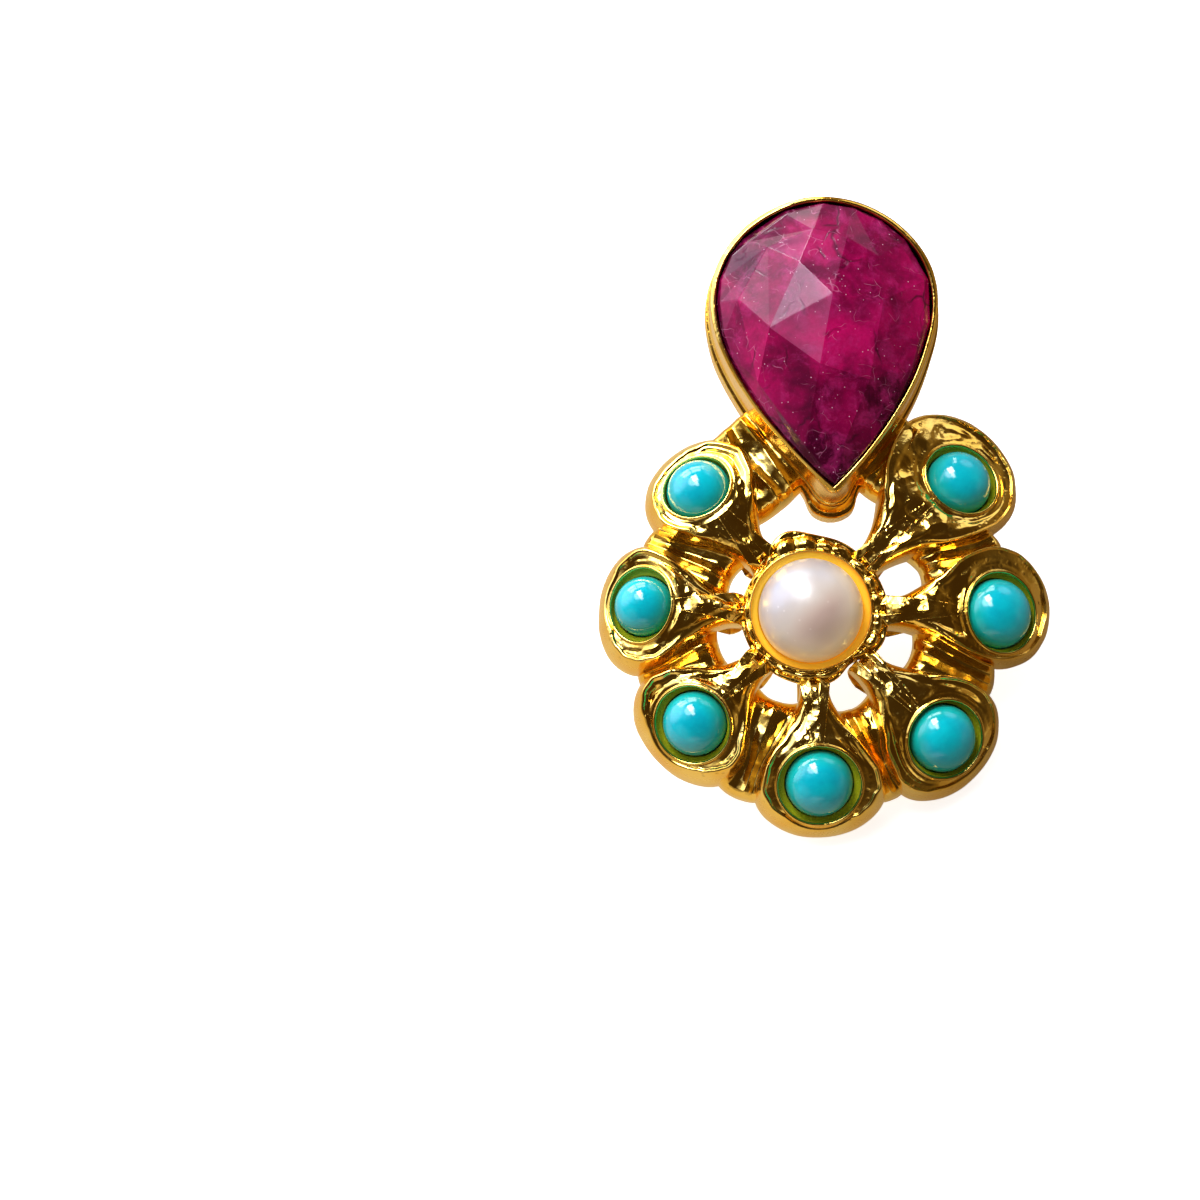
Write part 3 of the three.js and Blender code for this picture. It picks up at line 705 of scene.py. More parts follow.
def lip_rows(petal, turn, shake, seed):
    """A petal's rows over the thin lip round its stone, which wobbles a little."""
    wobble = 1 + 0.008 * swells(shake, 0.9, seed + 7)
    for out, height in CUP_LIP:
        yield cup_points(petal, (petal["mouth"] + out) * wobble, height, turn, petal["oval"]), 0.8


def bowl_rows(petal, turn):
    """A petal's rows down the bowl round its stone, which is rounder than the lip, and over the floor."""
    side = petal["stone"] + STONE_GAP
    for share, depth in CUP_BOWL:
        radius = petal["mouth"] + share * (side - petal["mouth"])
        oval = petal["oval"] + (1 - petal["oval"]) * min(1.0, share)
        yield cup_points(petal, radius, -depth, turn, oval), 0.25
    for radius in FLOOR_RINGS:
        yield cup_points(petal, radius, -CUP_FLOOR, turn, 1.0), 0.5


def petal_surface(petal, seed, columns=288):
    """A petal from its back up the wall, across the face and over the lip to the floor of the stone's cup.
    Gives the surface, how brightly each point is polished, and 1 at each point in the cup."""
    outline = petal_outline(petal, columns)
    normal = outward(outline)
    shake = at_level(outline, float(seed))
    free = smoothstep(4.2, 6.0, outline[:, 0])
    outline = outline + normal * (0.05 * free * swells(shake, 1.3, seed))[:, None]
    rows = list(wall_rows(petal, outline, normal, shake, seed))
    border = rows[-1][0]
    lip_half, narrow = lip_size(petal)
    way = border[:, :2] - [petal["reach"], 0.0]
    turn = np.arctan2(way[:, 1] / lip_half, way[:, 0] / (lip_half * narrow))
    foot = cup_points(petal, lip_half, CUP_LIP[0][1], turn, petal["oval"])
    rows += [*face_rows(petal, border, foot, seed), *lip_rows(petal, turn, shake, seed)]
    cup = np.repeat([0.0, 1.0], (len(rows), len(CUP_BOWL) + len(FLOOR_RINGS)))
    cup = np.repeat(cup[:, None], columns, 1)
    rows += bowl_rows(petal, turn)
    return *through_rows(rows, degrees=petal["angle"]), with_poles(cup)


def turquoise_surface(petal, columns=72):
    """A cabochon: a short upright base under a quarter ellipse, on the cup's leaning plane. Gives the
    surface, and a value that goes from 0 well inside its edge to 1 at it."""
    heading = np.linspace(0, 2 * math.pi, columns, endpoint=False)
    rise = np.linspace(0, math.pi / 2, 30)[:-1]
    side = petal["stone"]
    radius = np.concatenate([[0.8, side - 0.16, side - 0.04], np.full(4, side), side * np.cos(rise)[1:]])
    height = STONE_BOTTOM + np.concatenate([
        [0, 0, 0.02, 0.07, 0.25, 0.42, STONE_BASE], STONE_BASE + STONE_DOME * np.sin(rise)[1:]])
    rings = np.array([cup_points(petal, r, h, heading, 1.0) for r, h in zip(radius, height)])
    top = cup_points(petal, 0.0, STONE_BOTTOM + STONE_BASE + STONE_DOME, np.zeros(1), 1.0)
    surface = closed_grid(turned_about_pearl(rings, petal["angle"]),
                          last_pole=turned_about_pearl(top, petal["angle"])[0])
    rim = np.repeat(smoothstep(0.55, 1.0, radius / side)[:, None], columns, 1)
    return surface, with_poles(rim)


for number, petal in enumerate(PETALS, start=1):
    surface, worked, cup = petal_surface(petal, seed=20 + number)
    # The cup's bowl is painted lime: partly a painted green reflection of the turquoise in the gold.
    lay_gold(f"petal_{number}", surface, PETAL_GOLD, worked, matte=cup)
    surface, rim = turquoise_surface(petal)
    lay_piece(f"cabochon_{number}", surface, turquoise_material(f"turquoise_{number}", number),
              [f"turquoise_{number}"], {"rim": rim})

# ---- webs ------------------------------------------------------------------------------------------------


def turned_slab(place, top_height, stations, across, nose, degrees):
    """A ribbed slab, turned about the pearl, that thins in a long round nose towards the opening and in a
    short one at its outer end. place gives the plan position for a share outwards and a share across from
    1 to -1; nose is the inner nose's share of the length. Gives the surface, and how brightly each point is
    polished: its top nearly all, its back not at all."""
    even = np.linspace(0, 1, stations)
    share = 0.5 * even + 0.25 * (1 - np.cos(math.pi * even))
    out, over = np.meshgrid(share, np.linspace(1, -1, across), indexing="ij")
    plan = place(out, over)
    top = top_height(out, over, plan)
    inner, outer = np.clip(share / nose, 0, 1), np.clip((1 - share) / 0.07, 0, 1)
    thick = (np.sqrt(1 - (1 - inner) ** 2) * np.sqrt(1 - (1 - outer) ** 2) * 0.97 + 0.03)[:, None]
    middle = 0.4 * top + 0.6 * WEB_BACK
    points, quads, caps = pillow(*(np.concatenate([plan, (middle + (level - middle) * thick)[..., None]], -1)
                                   for level in (top, WEB_BACK)))
    return (turned_about_pearl(points, degrees), quads, caps), np.repeat([0.9, 0.0], stations * across)


def strands(phase):
    """The size of a sine wave, from 0 in its sharp valleys to 1, with the valleys eased a little."""
    return np.sqrt(np.sin(phase) ** 2 + 0.01)


def web_relief(over, plan, ribs, seed):
    """Height of a web's strands: large round ones that sway a little, each highest where the sine wave is
    least, with finer ones over them, shallow hammered dents and slow lumps."""
    slow = plan * [0.45, 1.0]
    sway = 0.30 * swells(slow, 1.5, seed) + 0.05 * swells(slow, 0.6, seed + 4)
    phase = ((1 - over) / 2 * ribs + sway) * math.pi
    size = 0.8 + 0.4 * swells(slow, 1.0, seed + 6)
    fine = 0.05 * strands(phase * 2 + 0.6) * (0.5 + 0.5 * swells(slow, 0.9, seed + 5))
    dents = 0.04 * hammer_pans(slow, 0.5, seed + 1) + 0.08 * hammer_pans(plan, 0.75, seed + 3)
    dents += 0.02 * swells(plan, 0.5, seed + 2)
    lumps = 0.16 * swells(plan, 1.3, seed + 8)
    return 0.46 * (1 - strands(phase)) * size + fine + dents + lumps


def petal_web(index, seed):
    """The web between a petal and the next: it fills the gap between their flanks and a little more, its
    strands run together towards the pearl, and its inner edge is an arch round the opening."""
    before, after = PETALS[index], PETALS[index + 1]
    web = WEBS[index]
    spread = math.radians((after["angle"] - before["angle"]) / 2)
    mean = {key: (before[key] + after[key]) / 2 for key in ("half", "reach")}

    def place(out, over):
        radius = web["opening"] + (web["end"] - web["opening"]) * out
        half = radius * math.sin(spread) - petal_half(mean, radius * math.cos(spread)) + WEB_OVERLAP
        half = np.maximum(half, 0.75)
        radius = radius - web["arch"] * over ** 2 * (1 - out) ** 2
        return np.stack([radius - 0.35 * over ** 2 * smoothstep(0.8, 1.0, out), half * over], -1)

    def top_height(out, over, plan):
        level = WEB_INNER + (WEB_OUTER - WEB_INNER) * out ** 1.4
        return level + web_relief(over, plan, 2, seed) + 0.4 * smoothstep(0.55, 1.0, np.abs(over))

    nose = 1.3 / (web["end"] - web["opening"])
    return turned_slab(place, top_height, 84, 88, nose, (before["angle"] + after["angle"]) / 2)


def ruby_web(web, seed):
    """A web beside the bezel: a straight strip whose strands run parallel to the bezel's wall, tucked under
    the petal on one side and the bezel on the other."""

    def place(out, over):
        along = web["start"] + (web["end"] - web["start"]) * out
        near, far = (web[key][0] + (web[key][1] - web[key][0]) * out for key in ("near", "far"))
        side = (far + near) / 2 + (far - near) / 2 * over
        return np.stack([along - 0.25 * (1 - over ** 2) * (1 - out) ** 2, side], -1)

    def top_height(out, over, plan):
        return 2.6 - 0.6 * out ** 1.3 + 0.8 * web_relief(over, plan, web["ribs"], seed)

    return turned_slab(place, top_height, 72, 96, 0.2, web["angle"])


for index in range(len(WEBS)):
    surface, worked = petal_web(index, seed=40 + index)
    lay_gold(f"web_{index + 1}", surface, WEB_GOLD, worked)
for number, web in enumerate(RUBY_WEBS):
    surface, worked = ruby_web(web, seed=60 + number)
    lay_gold(web["name"], surface, WEB_GOLD, worked)

# ---- bezel and base plate --------------------------------------------------------------------------------


def pear_outline(turn, side, tip):
    """The pear at each turn (0 at its tip, half a turn at its round end), grown by side at the sides and
    by tip at the tip: a sine times a power of the half turn's sine across, a cosine along."""
    across = (np.sin(turn) * np.abs(np.sin(turn / 2)) ** PEAR_FULLNESS
              * (1 - PEAR_CROWN * np.maximum(-np.cos(turn), 0) ** 3) / PEAR_WIDEST)
    half_length = PEAR_HALF_LENGTH + (side + tip) / 2
    return np.stack([
        PEAR_X + (PEAR_HALF_WIDTH + side) * across + PEAR_LEAN * np.maximum(np.cos(turn), 0),
        PEAR_Y + (side - tip) / 2 - half_length * np.cos(turn),
    ], -1)


# The bezel's section from the back's middle round the outside and over the rim to the floor under the ruby:
# inset of the whole outline, growth outwards at the sides, growth at the tip, height, and polish.
BEZEL_SECTION = (
    (2.5, 0, 0, 0, 0.2), (0.6, 0, 0, 0, 0.2), (0, 0.02, 0.46, 0, 0.2), (0, 0.1, 0.58, 0.03, 0.2),
    (0, 0.17, 0.68, 0.11, 0.2), (0, 0.21, 0.74, 0.25, 0.1), (0, 0.22, 0.78, 0.5, 0),
    (0, 0.22, 0.8, 0.9, 0), (0, 0.22, 0.8, 1.25, 0), (0, 0.22, 0.8, 1.48, 0.1),
    (0, 0.21, 0.79, 1.58, 0.5), (0, 0.22, 0.81, 1.66, 1), (0, 0.22, 0.81, 1.74, 1),
    (0, 0.19, 0.77, 1.82, 1), (0, 0.14, 0.7, 1.86, 1), (0, 0.1, 0.63, 1.83, 1), (0, 0.07, 0.56, 1.84, 1),
    (0, 0.05, 0.45, 1.96, 1), (0, 0.05, 0.34, 2.12, 1), (0, 0.05, 0.26, 2.3, 1), (0, 0.07, 0.22, 2.42, 1),
    (0, 0.1, 0.23, 2.5, 1), (0, 0.1, 0.22, 2.58, 1), (0, 0.06, 0.16, 2.65, 1), (0, 0.02, 0.08, 2.68, 0.7),
    (0, 0.01, 0.05, 2.8, 0.4), (0, 0.01, 0.04, 3.2, 0.3), (0, 0, 0.03, 3.8, 0.3),
    (0.02, 0, 0.02, 4.4, 0.3), (0.04, 0, 0, 4.78, 0.4), (0.03, 0, 0, 4.9, 0.6), (0.01, 0, 0, 4.95, 1),
    (0, 0, 0, 5, 1), (0.02, 0, 0, 5.05, 1), (0.06, 0, 0, 5.095, 1), (0.11, 0, 0, 5.135, 1),
    (0.16, 0, 0, 5.17, 1), (0.2, 0, 0, 5.19, 1), (0.24, 0, 0, 5.2, 1), (0.28, 0, 0, 5.185, 1),
    (0.31, 0, 0, 5.15, 1), (0.33, 0, 0, 5.09, 1), (0.34, 0, 0, 5, 0.9), (0.34, 0, 0, 4.7, 0.8),
    (0.31, 0, 0, 4, 0.8), (0.28, 0, 0, 1.95, 0.8), (0.35, 0, 0, 1.9, 0.8), (1.08, 0, 0, 1.9, 0.8),
    (1.08, 0, 0, 0.75, 0.8), (2.5, 0, 0, BEZEL_FLOOR, 0.8),
)


def bezel_surface(columns=384):
    """The bezel's section carried round the pear. The columns crowd together at the tip, where growth
    outwards rounds the corner, the wall and rim waver slightly, and a band below is hammered. Gives the
    surface and how brightly each point is polished."""
    even = (np.arange(columns) + 0.5) / columns * 2 * math.pi
    turn = even - 0.8 * np.sin(even)
    along = pear_outline(turn + 0.02, 0, 0) - pear_outline(turn - 0.02, 0, 0)
    away = np.stack([along[:, 1], -along[:, 0]], 1)
    away /= np.linalg.norm(away, axis=1, keepdims=True)
    from_tip = np.minimum(turn, 2 * math.pi - turn)
    near_tip, at_tip = np.exp(-(from_tip / 0.62) ** 2), np.exp(-(from_tip / 0.45) ** 4)
    rows = []
    for inset, side, tip, level, bright in BEZEL_SECTION:
        rounding = (0.9 - 0.5 * float(smoothstep(2.5, 4.5, level)) if inset < 0.1 else 0.0) * at_tip
        plan = pear_outline(turn, -inset - rounding, -inset - rounding)
        spot = at_level(plan, level * 0.6)
        free = 1.0 if level > 0.2 and inset < 0.3 else 0.0
        band = 1.0 if 1.8 < level < 2.35 else 0.0
        grow = rounding + side + (tip - side) * near_tip + 0.02 * free * swells(spot, 1.6, 71)
        grow = grow + 0.05 * band * (hammer_pans(spot, 0.5, 75) - 0.4)
        lift = 0.03 * free * swells(spot, 2.1, 73) + 0.01 * free * swells(spot, 0.6, 74)
        rows.append((at_level(plan + away * grow[:, None], level + lift), bright))
    return through_rows(rows, [PEAR_X, PEAR_Y, 0.0], [PEAR_X, PEAR_Y, BEZEL_FLOOR])


surface, worked = bezel_surface()
lay_gold("ruby_bezel", surface, BEZEL_GOLD, worked)

# ---- collar and pearl ------------------------------------------------------------------------------------

# The collar's section from the back's middle round the outside, over the beaded top and the thin inner rim
# to the floor under the pearl: radius, height, share of beading, and how bright it is polished.
COLLAR_SECTION = (
    (2, COLLAR_BACK, 0, 0.2), (3.4, COLLAR_BACK, 0, 0.2), (3.52, -0.05, 0, 0.2), (3.6, 0.05, 0, 0.2),
    (3.65, 0.2, 0, 0.2), (3.7, 0.5, 0, 0.3), (3.8, 1.2, 0, 0.4), (3.95, 2, 0, 0.5), (4.04, 2.5, 0.1, 0.7),
    (4.12, 2.78, 0.1, 1), (4.2, 2.86, 0, 1), (4.27, 2.93, 0, 1), (4.27, 3.02, 0, 1), (4.21, 3.09, 0, 1),
    (4.13, 3.1, 0.2, 1), (4.09, 3.14, 0.6, 1), (4.07, 3.24, 1, 1), (4.03, 3.36, 1, 1), (3.97, 3.46, 1, 1),
    (3.9, 3.53, 1, 1), (3.82, 3.57, 1, 1), (3.74, 3.57, 1, 1), (3.66, 3.54, 1, 1), (3.6, 3.49, 0.8, 1),
    (3.56, 3.46, 0.4, 1), (3.53, 3.47, 0.1, 1), (3.51, 3.53, 0, 1), (3.485, 3.59, 0, 1),
    (3.45, 3.62, 0, 1), (3.415, 3.6, 0, 1), (3.39, 3.54, 0, 0.7), (3.37, 3.46, 0, 0.2),
    (3.34, 3.38, 0, 0), (3.28, 3.3, 0, 0), (3.2, 3.24, 0, 0), (3.11, 3.2, 0, 0), (3.03, 3.17, 0, 0),
    (2.99, 3.12, 0, 0), (2.98, 2.95, 0, 0), (2.98, 2.2, 0, 0.1), (3.1, 1.6, 0, 0.1), (3.1, 0.8, 0, 0.1),
    (3, 0.71, 0, 0.1), (2, COLLAR_FLOOR, 0, 0.1),
)
# Below this polish the seat takes orange painted light and a painted glow.
SEAT_POLISH = 0.15         # what is polished less than this is the matte seat round the pearl
BEADS = 21
# Where the collar's outside stands in or out: direction in degrees, how wide, and how far.
COLLAR_SWELLS = ((150, 32, -0.38), (205, 30, -0.22), (250, 25, -0.10), (108, 17, 0.55), (70, 25, 0.15),
                 (0, 30, 0.12), (308, 15, -0.50), (335, 16, 0.12))


def collar_surface(columns=480):
    """The collar's section turned about the pearl's axis. Where it is beaded, its height and radius swell
    and pinch round the ring, each bead a little longer or higher than the next. Gives the surface and how
    brightly each point is polished."""
    turn, circle = np.linspace(0, 2 * math.pi, columns, endpoint=False), circle_of(columns)
    uneven = turn + 0.09 * swells(circle * 3.8, 1.5, 81)
    bead = np.abs(np.sin(uneven * BEADS / 2)) ** 0.7
    size = 0.7 + 0.4 * swells(circle * 3.8, 0.8, 83)
    stand = np.zeros(columns)
    for direction, wide, far in COLLAR_SWELLS:
        apart = (np.degrees(turn) - direction + 180) % 360 - 180
        stand += far * np.exp(-(apart / wide) ** 2)
    rows = []
    for radius, level, beading, bright in COLLAR_SECTION:
        spot = at_level(circle * radius, level)
        dent = hammer_pans(spot, 0.55, 85) * 0.16
        sink = beading * ((1 - bead) * 0.32 * size + dent)
        share = float(np.clip((radius - 3.5) / 0.68, 0, 1.15)) if level > 1.5 else float(level > COLLAR_BACK)
        out = radius + share * stand - beading * (1 - bead) * 0.06
        out = out + 0.02 * (beading > 0) * swells(spot, 0.7, 87) + 0.012 * swells(spot, 1.4, 89)
        rows.append((at_level(circle * out[:, None], level - sink + 0.015 * swells(spot, 1.1, 88)), bright))
    return through_rows(rows, [0, 0, COLLAR_BACK], [0, 0, COLLAR_FLOOR])


surface, worked = collar_surface()
# The seat's mask carries that orange painted light and glow.
lay_gold("pearl_collar", surface, COLLAR_GOLD, worked, matte=1.0 * (worked < SEAT_POLISH))


def pearl_surface(columns=128):
    """A button pearl: a ball cut flat where it is glued down, very slightly uneven."""
    lowest = math.asin((PEARL_BOTTOM - PEARL_MIDDLE) / PEARL_RADIUS)
    circle = circle_of(columns)
    rings = []
    for angle in np.linspace(lowest, math.pi / 2, 72)[:-1]:
        radius, level = PEARL_RADIUS * math.cos(angle), PEARL_MIDDLE + PEARL_RADIUS * math.sin(angle)
        uneven = 1 + 0.006 * swells(at_level(circle * radius, level), 1.8, 91)
        rings.append(at_level(circle * radius * uneven[:, None], level))
    return closed_grid(np.array(rings), [0, 0, PEARL_BOTTOM], [0, 0, PEARL_MIDDLE + PEARL_RADIUS])


lay_piece("pearl_button", pearl_surface(), pearl_material(), ["pearl"])

# ---- ruby ------------------------------------------------------------------------------------------------

# Corners of the ruby's crown: x, y and height.
CROWN = dict(
    a=(0.2, 21.55, 6.2), b=(-0.62, 19.45, 6.85), c=(-2.34, 15.59, 6.9), d=(1.22, 17.47, 7.4),
    e=(0.48, 13.46, 7.1), f=(-2.4, 20.52, 5.95), g=(2.09, 20.97, 6.4), h=(-4.1, 17.44, 6.0),
    i=(4.1, 17.2, 6.75), j=(3.3, 12.7, 6.45), k=(-0.35, 8.95, 6.0), l=(1.85, 9.05, 6.0),
    m=(-3.0, 12.67, 5.85), n=(3.9, 19.9, 6.15),
)
# The stone's edge is a polygon of unequal straight sides: the pear's turn at each corner, and how far the
# corner lies inside the bezel's outline.
EDGE_CORNERS = (
    (0.12, 0.4), (0.38, 0.42), (0.78, 0.45), (1.07, 0.46), (1.36, 0.61), (1.72, 0.75), (2.04, 0.64),
    (2.4, 0.8), (2.63, 0.56), (2.88, 0.5), (3.15, 0.51), (3.48, 0.66), (3.87, 0.75), (4.03, 0.51),
    (4.25, 0.5), (4.42, 0.56), (4.64, 0.54), (4.83, 0.46), (4.96, 0.46), (5.11, 0.53), (5.24, 0.43),
    (5.44, 0.42), (5.63, 0.42), (5.92, 0.4),
)
EDGE_HEIGHT = 5.3
SKIRT_ROWS = ((0.37, 4.95), (0.38, 4.4), (1.0, 2.0))   # inset from the bezel's outline, and height
# The skirt takes painted shade: the gap inside the bezel is shaded.
SKIRT_TONE = (0.0, 0.0, 0.6)                           # milky, pink and dark, as for the facets
# Facets: their corners by name on the crown and by number on the edge, then how much painted haze (the
# room's light reflected), painted glow of light inside the stone and painted shade each gets.
FACETS = (
    ("f a b", 0.4, 0.1, 0), ("b d c", 0.4, 0.4, 0), ("f b c h", 0.04, 0.9, 0),
    ("a g d b", 0.12, 0.1, 0.2), ("c d e", 0.28, 0.4, 0.05), ("d g n i", 0, 0.2, 0.28),
    ("d i j e", 0, 0.4, 0), ("c e k m", 0.02, 0.1, 0.3), ("e j l k", 0, 0.2, 0.4),
    ("h c m", 0.04, 0.8, 0), ("f a 10 11 12", 0.1, 0, 0.5), ("a g 9 10", 0.06, 0.1, 0.5),
    ("g n 7 8 9", 0, 0.2, 0.4), ("f 12 13 14", 0.12, 0.1, 0.45), ("f 14 15 h", 0.08, 0.3, 0.3),
    ("h 15 16 17", 0.08, 0.5, 0.15), ("h 17 18 19 m", 0.08, 0.3, 0.2), ("m 19 20 21", 0.1, 0.2, 0.35),
    ("m 21 22 k", 0.06, 0.1, 0.55), ("k 22 23", 0.04, 0, 0.85), ("k 23 0 l", 0, 0, 1),
    ("l 0 1", 0, 0, 0.85), ("l 1 2 j", 0, 0.1, 0.6), ("j 2 3 4", 0, 0.2, 0.4), ("j 4 5 i", 0, 0.2, 0.25),
    ("i 5 6 n", 0, 0.2, 0.25), ("n 6 7", 0, 0.2, 0.3),
)


def ruby_piece():
    """The crown's facets as flat faces between named corners and the stone's edge, then a skirt, darkened
    with painted shade, that goes steeply down inside the bezel and slants in to the stone's flat bottom."""
    turns, insets = np.array(EDGE_CORNERS).T
    count = len(turns)
    rows = ((insets, EDGE_HEIGHT), *SKIRT_ROWS)
    skirt = [at_level(pear_outline(turns, -inset, -inset), level) for inset, level in rows]
    points = np.vstack([np.array(list(CROWN.values()))] + skirt)
    first = len(CROWN)
    order = {name: k for k, name in enumerate(CROWN)} | {str(k): first + k for k in range(count)}
    faces = [[order[corner] for corner in corners.split()] for corners, *_ in FACETS]
    tones = [tone for _, *tone in FACETS]
    for row, k in itertools.product(range(len(rows) - 1), range(count)):
        near, far = first + row * count + k, first + row * count + (k + 1) % count
        faces.append([near, near + count, far + count, far])
        tones.append(SKIRT_TONE)
    faces.append([first + (len(rows) - 1) * count + k for k in range(count)])
    tones.append(SKIRT_TONE)
    mesh = bpy.data.meshes.new("ruby_stone")
    mesh.from_pydata(in_row_frame(points).tolist(), [], faces)
    for key, numbers in zip(("painted_haze", "painted_glow", "shade"), np.array(tones, np.float32).T):
        layer = mesh.attributes.new(key, "FLOAT", "FACE")
        layer.data.foreach_set("value", np.ascontiguousarray(numbers))
    outward_faces = bmesh.new()
    outward_faces.from_mesh(mesh)
    bmesh.ops.recalc_face_normals(outward_faces, faces=outward_faces.faces)
    outward_faces.to_mesh(mesh)
    outward_faces.free()
    piece = settle(bpy.data.objects.new("ruby_stone", mesh), ruby_material(), ["ruby"])
    bevel = piece.modifiers.new("worn facet edges", "BEVEL")
    bevel.width, bevel.segments, bevel.limit_method = 0.00006, 2, "ANGLE"
    bevel.angle_limit = math.radians(5)


ruby_piece()

# ---- post ------------------------------------------------------------------------------------------------


def turned_about_post(*profile, columns):
    """A solid of revolution about the post's axis, square to the face. The profile is radius and height
    from the back to the front."""
    circle = circle_of(columns)
    return closed_grid(np.array([at_level([POST_X, POST_Y] + circle * radius, level)
                                 for radius, level in profile]))


tip = -POST_LENGTH
surface = turned_about_post(
    (0.12, tip), (0.25, tip), (0.31, tip + 0.05), (0.38, tip + 0.14), (0.43, tip + 0.24),
    (POST_RADIUS, tip + 0.36), (POST_RADIUS, -6.0), (POST_RADIUS, -2.0), (POST_RADIUS, POST_TOP - 0.05),
    (0.40, POST_TOP), (0.1, POST_TOP), columns=48)
lay_piece("post_pin", surface, POST_GOLD, ["ear_post"], {"hammered": 0.6})
surface = turned_about_post(
    (0.2, -0.10), (0.53, -0.10), (0.535, -0.35), (0.56, -0.54), (0.62, -0.60), (1.00, -0.60), (1.16, -0.57),
    (1.26, -0.48), (1.30, -0.34), (1.30, -0.05), (1.30, 0.35), (0.6, 0.40), columns=64)
lay_gold("post_seat", surface, POST_GOLD, 0.3)

# ---- floor, light and camera -----------------------------------------------------------------------------

FLOOR_REACH = 0.6          # in metres
# The floor's glow as the gold sees it, paler to the left of these two places in metres than to the right.
FLOOR_PALE_AT, FLOOR_DIM_AT = -0.004, 0.011


def stage_floor():
    """A wide pale board under the earring. To the camera it shines by itself, so that it stays plain and
    white round the earring and through the holes. The gold and stones see a dimmer, browner one."""
    mesh = bpy.data.meshes.new("floor")
    corners = [(x * FLOOR_REACH, y * FLOOR_REACH, 0) for x, y in ((-1, -1), (1, -1), (1, 1), (-1, 1))]
    mesh.from_pydata(corners, [], [(0, 1, 2, 3)])
    floor = bpy.data.objects.new("floor", mesh)
    bpy.context.scene.collection.objects.link(floor)
    material, sheet, shader, place = new_material("pale_board")
    seen = sheet.add("LightPath").outputs["Is Camera Ray"]
    across = sheet.add("SeparateXYZ", Vector=place).outputs[0]
    glow = sheet.blend(sheet.between(across, FLOOR_PALE_AT, FLOOR_DIM_AT), rgb(0.66, 0.57, 0.43),
                       rgb(0.16, 0.12, 0.07))
    sheet.fill(
        shader, Roughness=0.8, Specular_IOR_Level=0.0, Emission_Strength=1.0,
        Base_Color=sheet.blend(seen, rgb(0.07, 0.05, 0.03), rgb(0.7, 0.7, 0.7)),
        Emission_Color=sheet.layers(glow, (seen, (0.76, 0.755, 0.74))))
    mesh.materials.append(material)


# What the room shows the gold and the stones, in face-frame directions: how wide each patch is and how wide
# its soft edge ends, both in degrees from its middle, its colour and its strength.
ROOM_PATCHES = table(
    "way wide soft color strength",
    ((-0.85, 0.50, 0.12), 10, 40, (0.90, 1.0, 1.40), 2.2),
    ((-0.52, 0.45, 0.72), 6, 32, (0.90, 1.0, 1.40), 0.45),
    ((-0.37, 0.54, 0.75), 9, 20, (0.94, 1.0, 1.12), 5.5),
    ((-0.75, -0.55, 0.35), 6, 30, (1.0, 0.98, 0.94), 0.25),
    ((0.97, -0.05, 0.02), 6, 26, (1.0, 0.95, 0.87), 0.25),
    ((-0.10, -0.97, 0.10), 8, 34, (1.0, 0.96, 0.90), 0.8),
    ((0.40, 0.90, 0.18), 4, 20, (0.92, 1.0, 1.30), 1.2),
)
# Windows: a wide one with panes, low behind the ruby's end, a tall narrow one higher up, and a bright one
# with panes between them. Each has its middle, half width and half height as slopes, how soft its edge is,
# the half width of its bars and its strength.
WINDOWS = table(
    "way half_width half_height edge bar strength",
    ((-0.38, 0.92, 0.10), 0.46, 0.26, 0.15, 0.03, 6.0),
    ((-0.27, 0.56, 0.78), 0.10, 0.40, 0.25, 0.0, 8.0),
    ((-0.30, 0.70, 0.65), 0.16, 0.21, 0.2, 0.02, 16.0),
)
# Overhead, the room is dim up to the first angle and paler from the second on.
OVERHEAD = dict(way=(0.10, 0.05, 0.99), wide=20, soft=85)
# How far in front a window's slopes are still taken, as a share of the whole way.
LEAST_AHEAD = 0.05


def turned_way(way):
    """A face-frame direction as a row-frame direction of length 1."""
    return FACE_TURN @ (np.array(way) / np.linalg.norm(way))


def room_patch_group():
    """A round patch of light on the room: 1 within the inner edge, falling smoothly to 0 at the outer."""
    group, sheet, given, out = new_group(
        "room_patch",
        [("Direction", "Vector", None), ("Middle", "Vector", None), ("Inner", "Float", 0.99),
         ("Outer", "Float", 0.9)],
        [("Share", "Float")],
    )
    ease = sheet.add(
        "MapRange", {"interpolation_type": "SMOOTHERSTEP"}, From_Min=given["Outer"], From_Max=given["Inner"],
        Value=sheet.dot(given["Direction"], given["Middle"]))
    sheet.fill(out, Share=ease.outputs["Result"])
    return group


def window_share(sheet, direction, window):
    """1 where a direction looks through a window: its slopes to the window's sides and up stay inside the
    frame and clear of the two bars."""
    middle = turned_way(window["way"])
    right = np.cross(middle, FACE_OUT)
    right /= np.linalg.norm(right)
    axes = (middle, right, np.cross(right, middle))
    ahead, *sideways = (sheet.dot(direction, tuple(axis)) for axis in axes)
    share = sheet.math("GREATER_THAN", ahead, LEAST_AHEAD)
    for value, half in zip(sideways, (window["half_width"], window["half_height"])):
        slope = sheet.math("DIVIDE", value, sheet.math("MAXIMUM", ahead, LEAST_AHEAD))
        slope = sheet.math("ABSOLUTE", slope)
        share = sheet.times(share, sheet.between(slope, half * (1 - window["edge"]), half, 1.0, 0.0))
        if window["bar"]:
            share = sheet.times(share, sheet.between(slope, window["bar"] * 0.6, window["bar"], 0.12, 1.0))
    return share


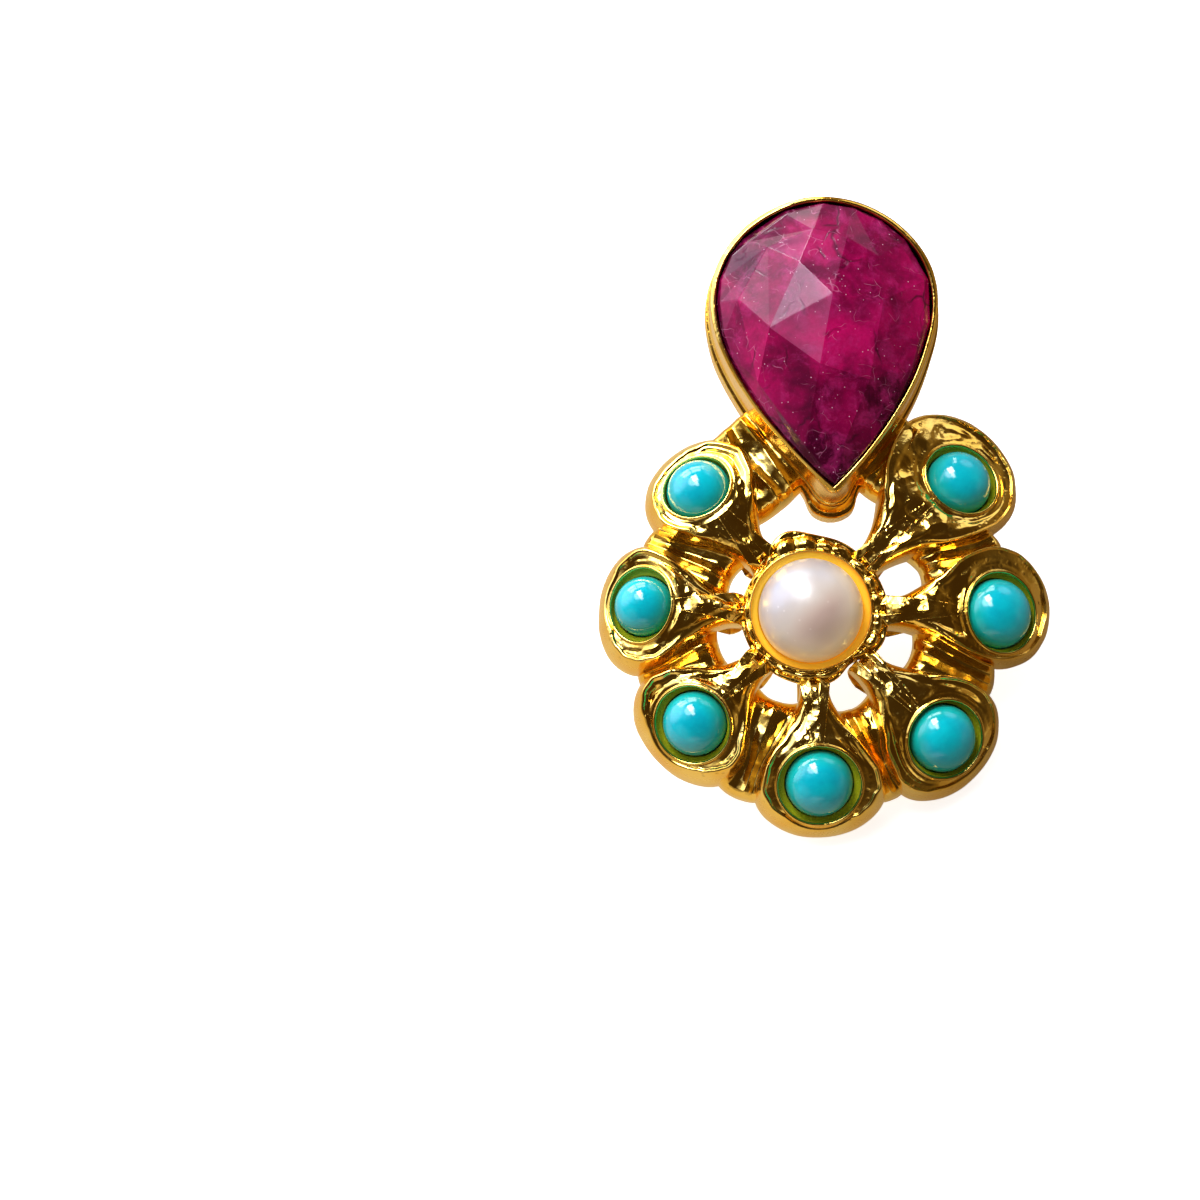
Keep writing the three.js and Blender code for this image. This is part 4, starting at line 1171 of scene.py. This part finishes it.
def stage_light():
    """The room as light: dim and brownish overhead, paler towards the horizon, with soft patches and
    windows. The camera sees it white instead, and diffuse surfaces get a little grey from all round."""
    world = bpy.data.worlds.new("room")
    bpy.context.scene.world = world
    world.use_nodes = True
    world.node_tree.nodes.clear()
    sheet = Sheet(world.node_tree)
    direction = sheet.add("TexCoord").outputs["Generated"]
    patch = room_patch_group()

    def share_of(item):
        inner, outer = (math.cos(math.radians(item[key])) for key in ("wide", "soft"))
        return sheet.add(
            "Group", {"node_tree": patch}, Direction=direction, Middle=tuple(turned_way(item["way"])),
            Inner=inner, Outer=outer).outputs["Share"]

    color = sheet.blend(share_of(OVERHEAD), rgb(0.22, 0.155, 0.07), rgb(0.045, 0.027, 0.010))
    lights = [(share_of(item), [item["strength"] * part for part in item["color"]]) for item in ROOM_PATCHES]
    lights += [(window_share(sheet, direction, window), [window["strength"]] * 3) for window in WINDOWS]
    for share, lit in lights:
        color = sheet.blend(1.0, color, sheet.blend(share, rgb(0, 0, 0), rgb(*lit)), "ADD")
    path = sheet.add("LightPath").outputs
    color = sheet.layers(color, (path["Is Camera Ray"], (1.0, 1.0, 1.0)))
    fill = sheet.blend(path["Is Diffuse Ray"], rgb(0, 0, 0), rgb(0.30, 0.30, 0.31))
    strength = sheet.between(path["Is Diffuse Ray"], 0, 1, 1.0, 1.03)
    back = sheet.add("Background", Color=sheet.blend(1.0, color, fill, "ADD"), Strength=strength)
    sheet.add("OutputWorld", Surface=back.outputs[0])


def stage_camera():
    """The camera looks at a point left of the flower, from a little below, square to the face otherwise."""
    below, distance, frame_width = math.radians(11), 300.0, 67.8
    target = np.array([-11.9, 0.64, 3.3])
    way = np.array([0.0, -math.sin(below), math.cos(below)])
    up = FACE_TURN @ np.array([0.0, math.cos(below), math.sin(below)])
    back = FACE_TURN @ way
    right = np.cross(up, back)
    camera = bpy.data.cameras.new("camera")
    camera.sensor_width = 36
    camera.lens = 36 * distance / frame_width
    camera.clip_start, camera.clip_end = 0.01, 10
    lens = bpy.data.objects.new("camera", camera)
    bpy.context.scene.collection.objects.link(lens)
    place = in_row_frame(target + way * distance)
    turn = Matrix([[right[k], up[k], back[k]] for k in range(3)]).to_4x4()
    lens.matrix_world = Matrix.Translation(Vector(place)) @ turn
    bpy.context.scene.camera = lens
    bpy.context.scene.view_settings.view_transform = "Standard"


stage_floor()
stage_light()
stage_camera()
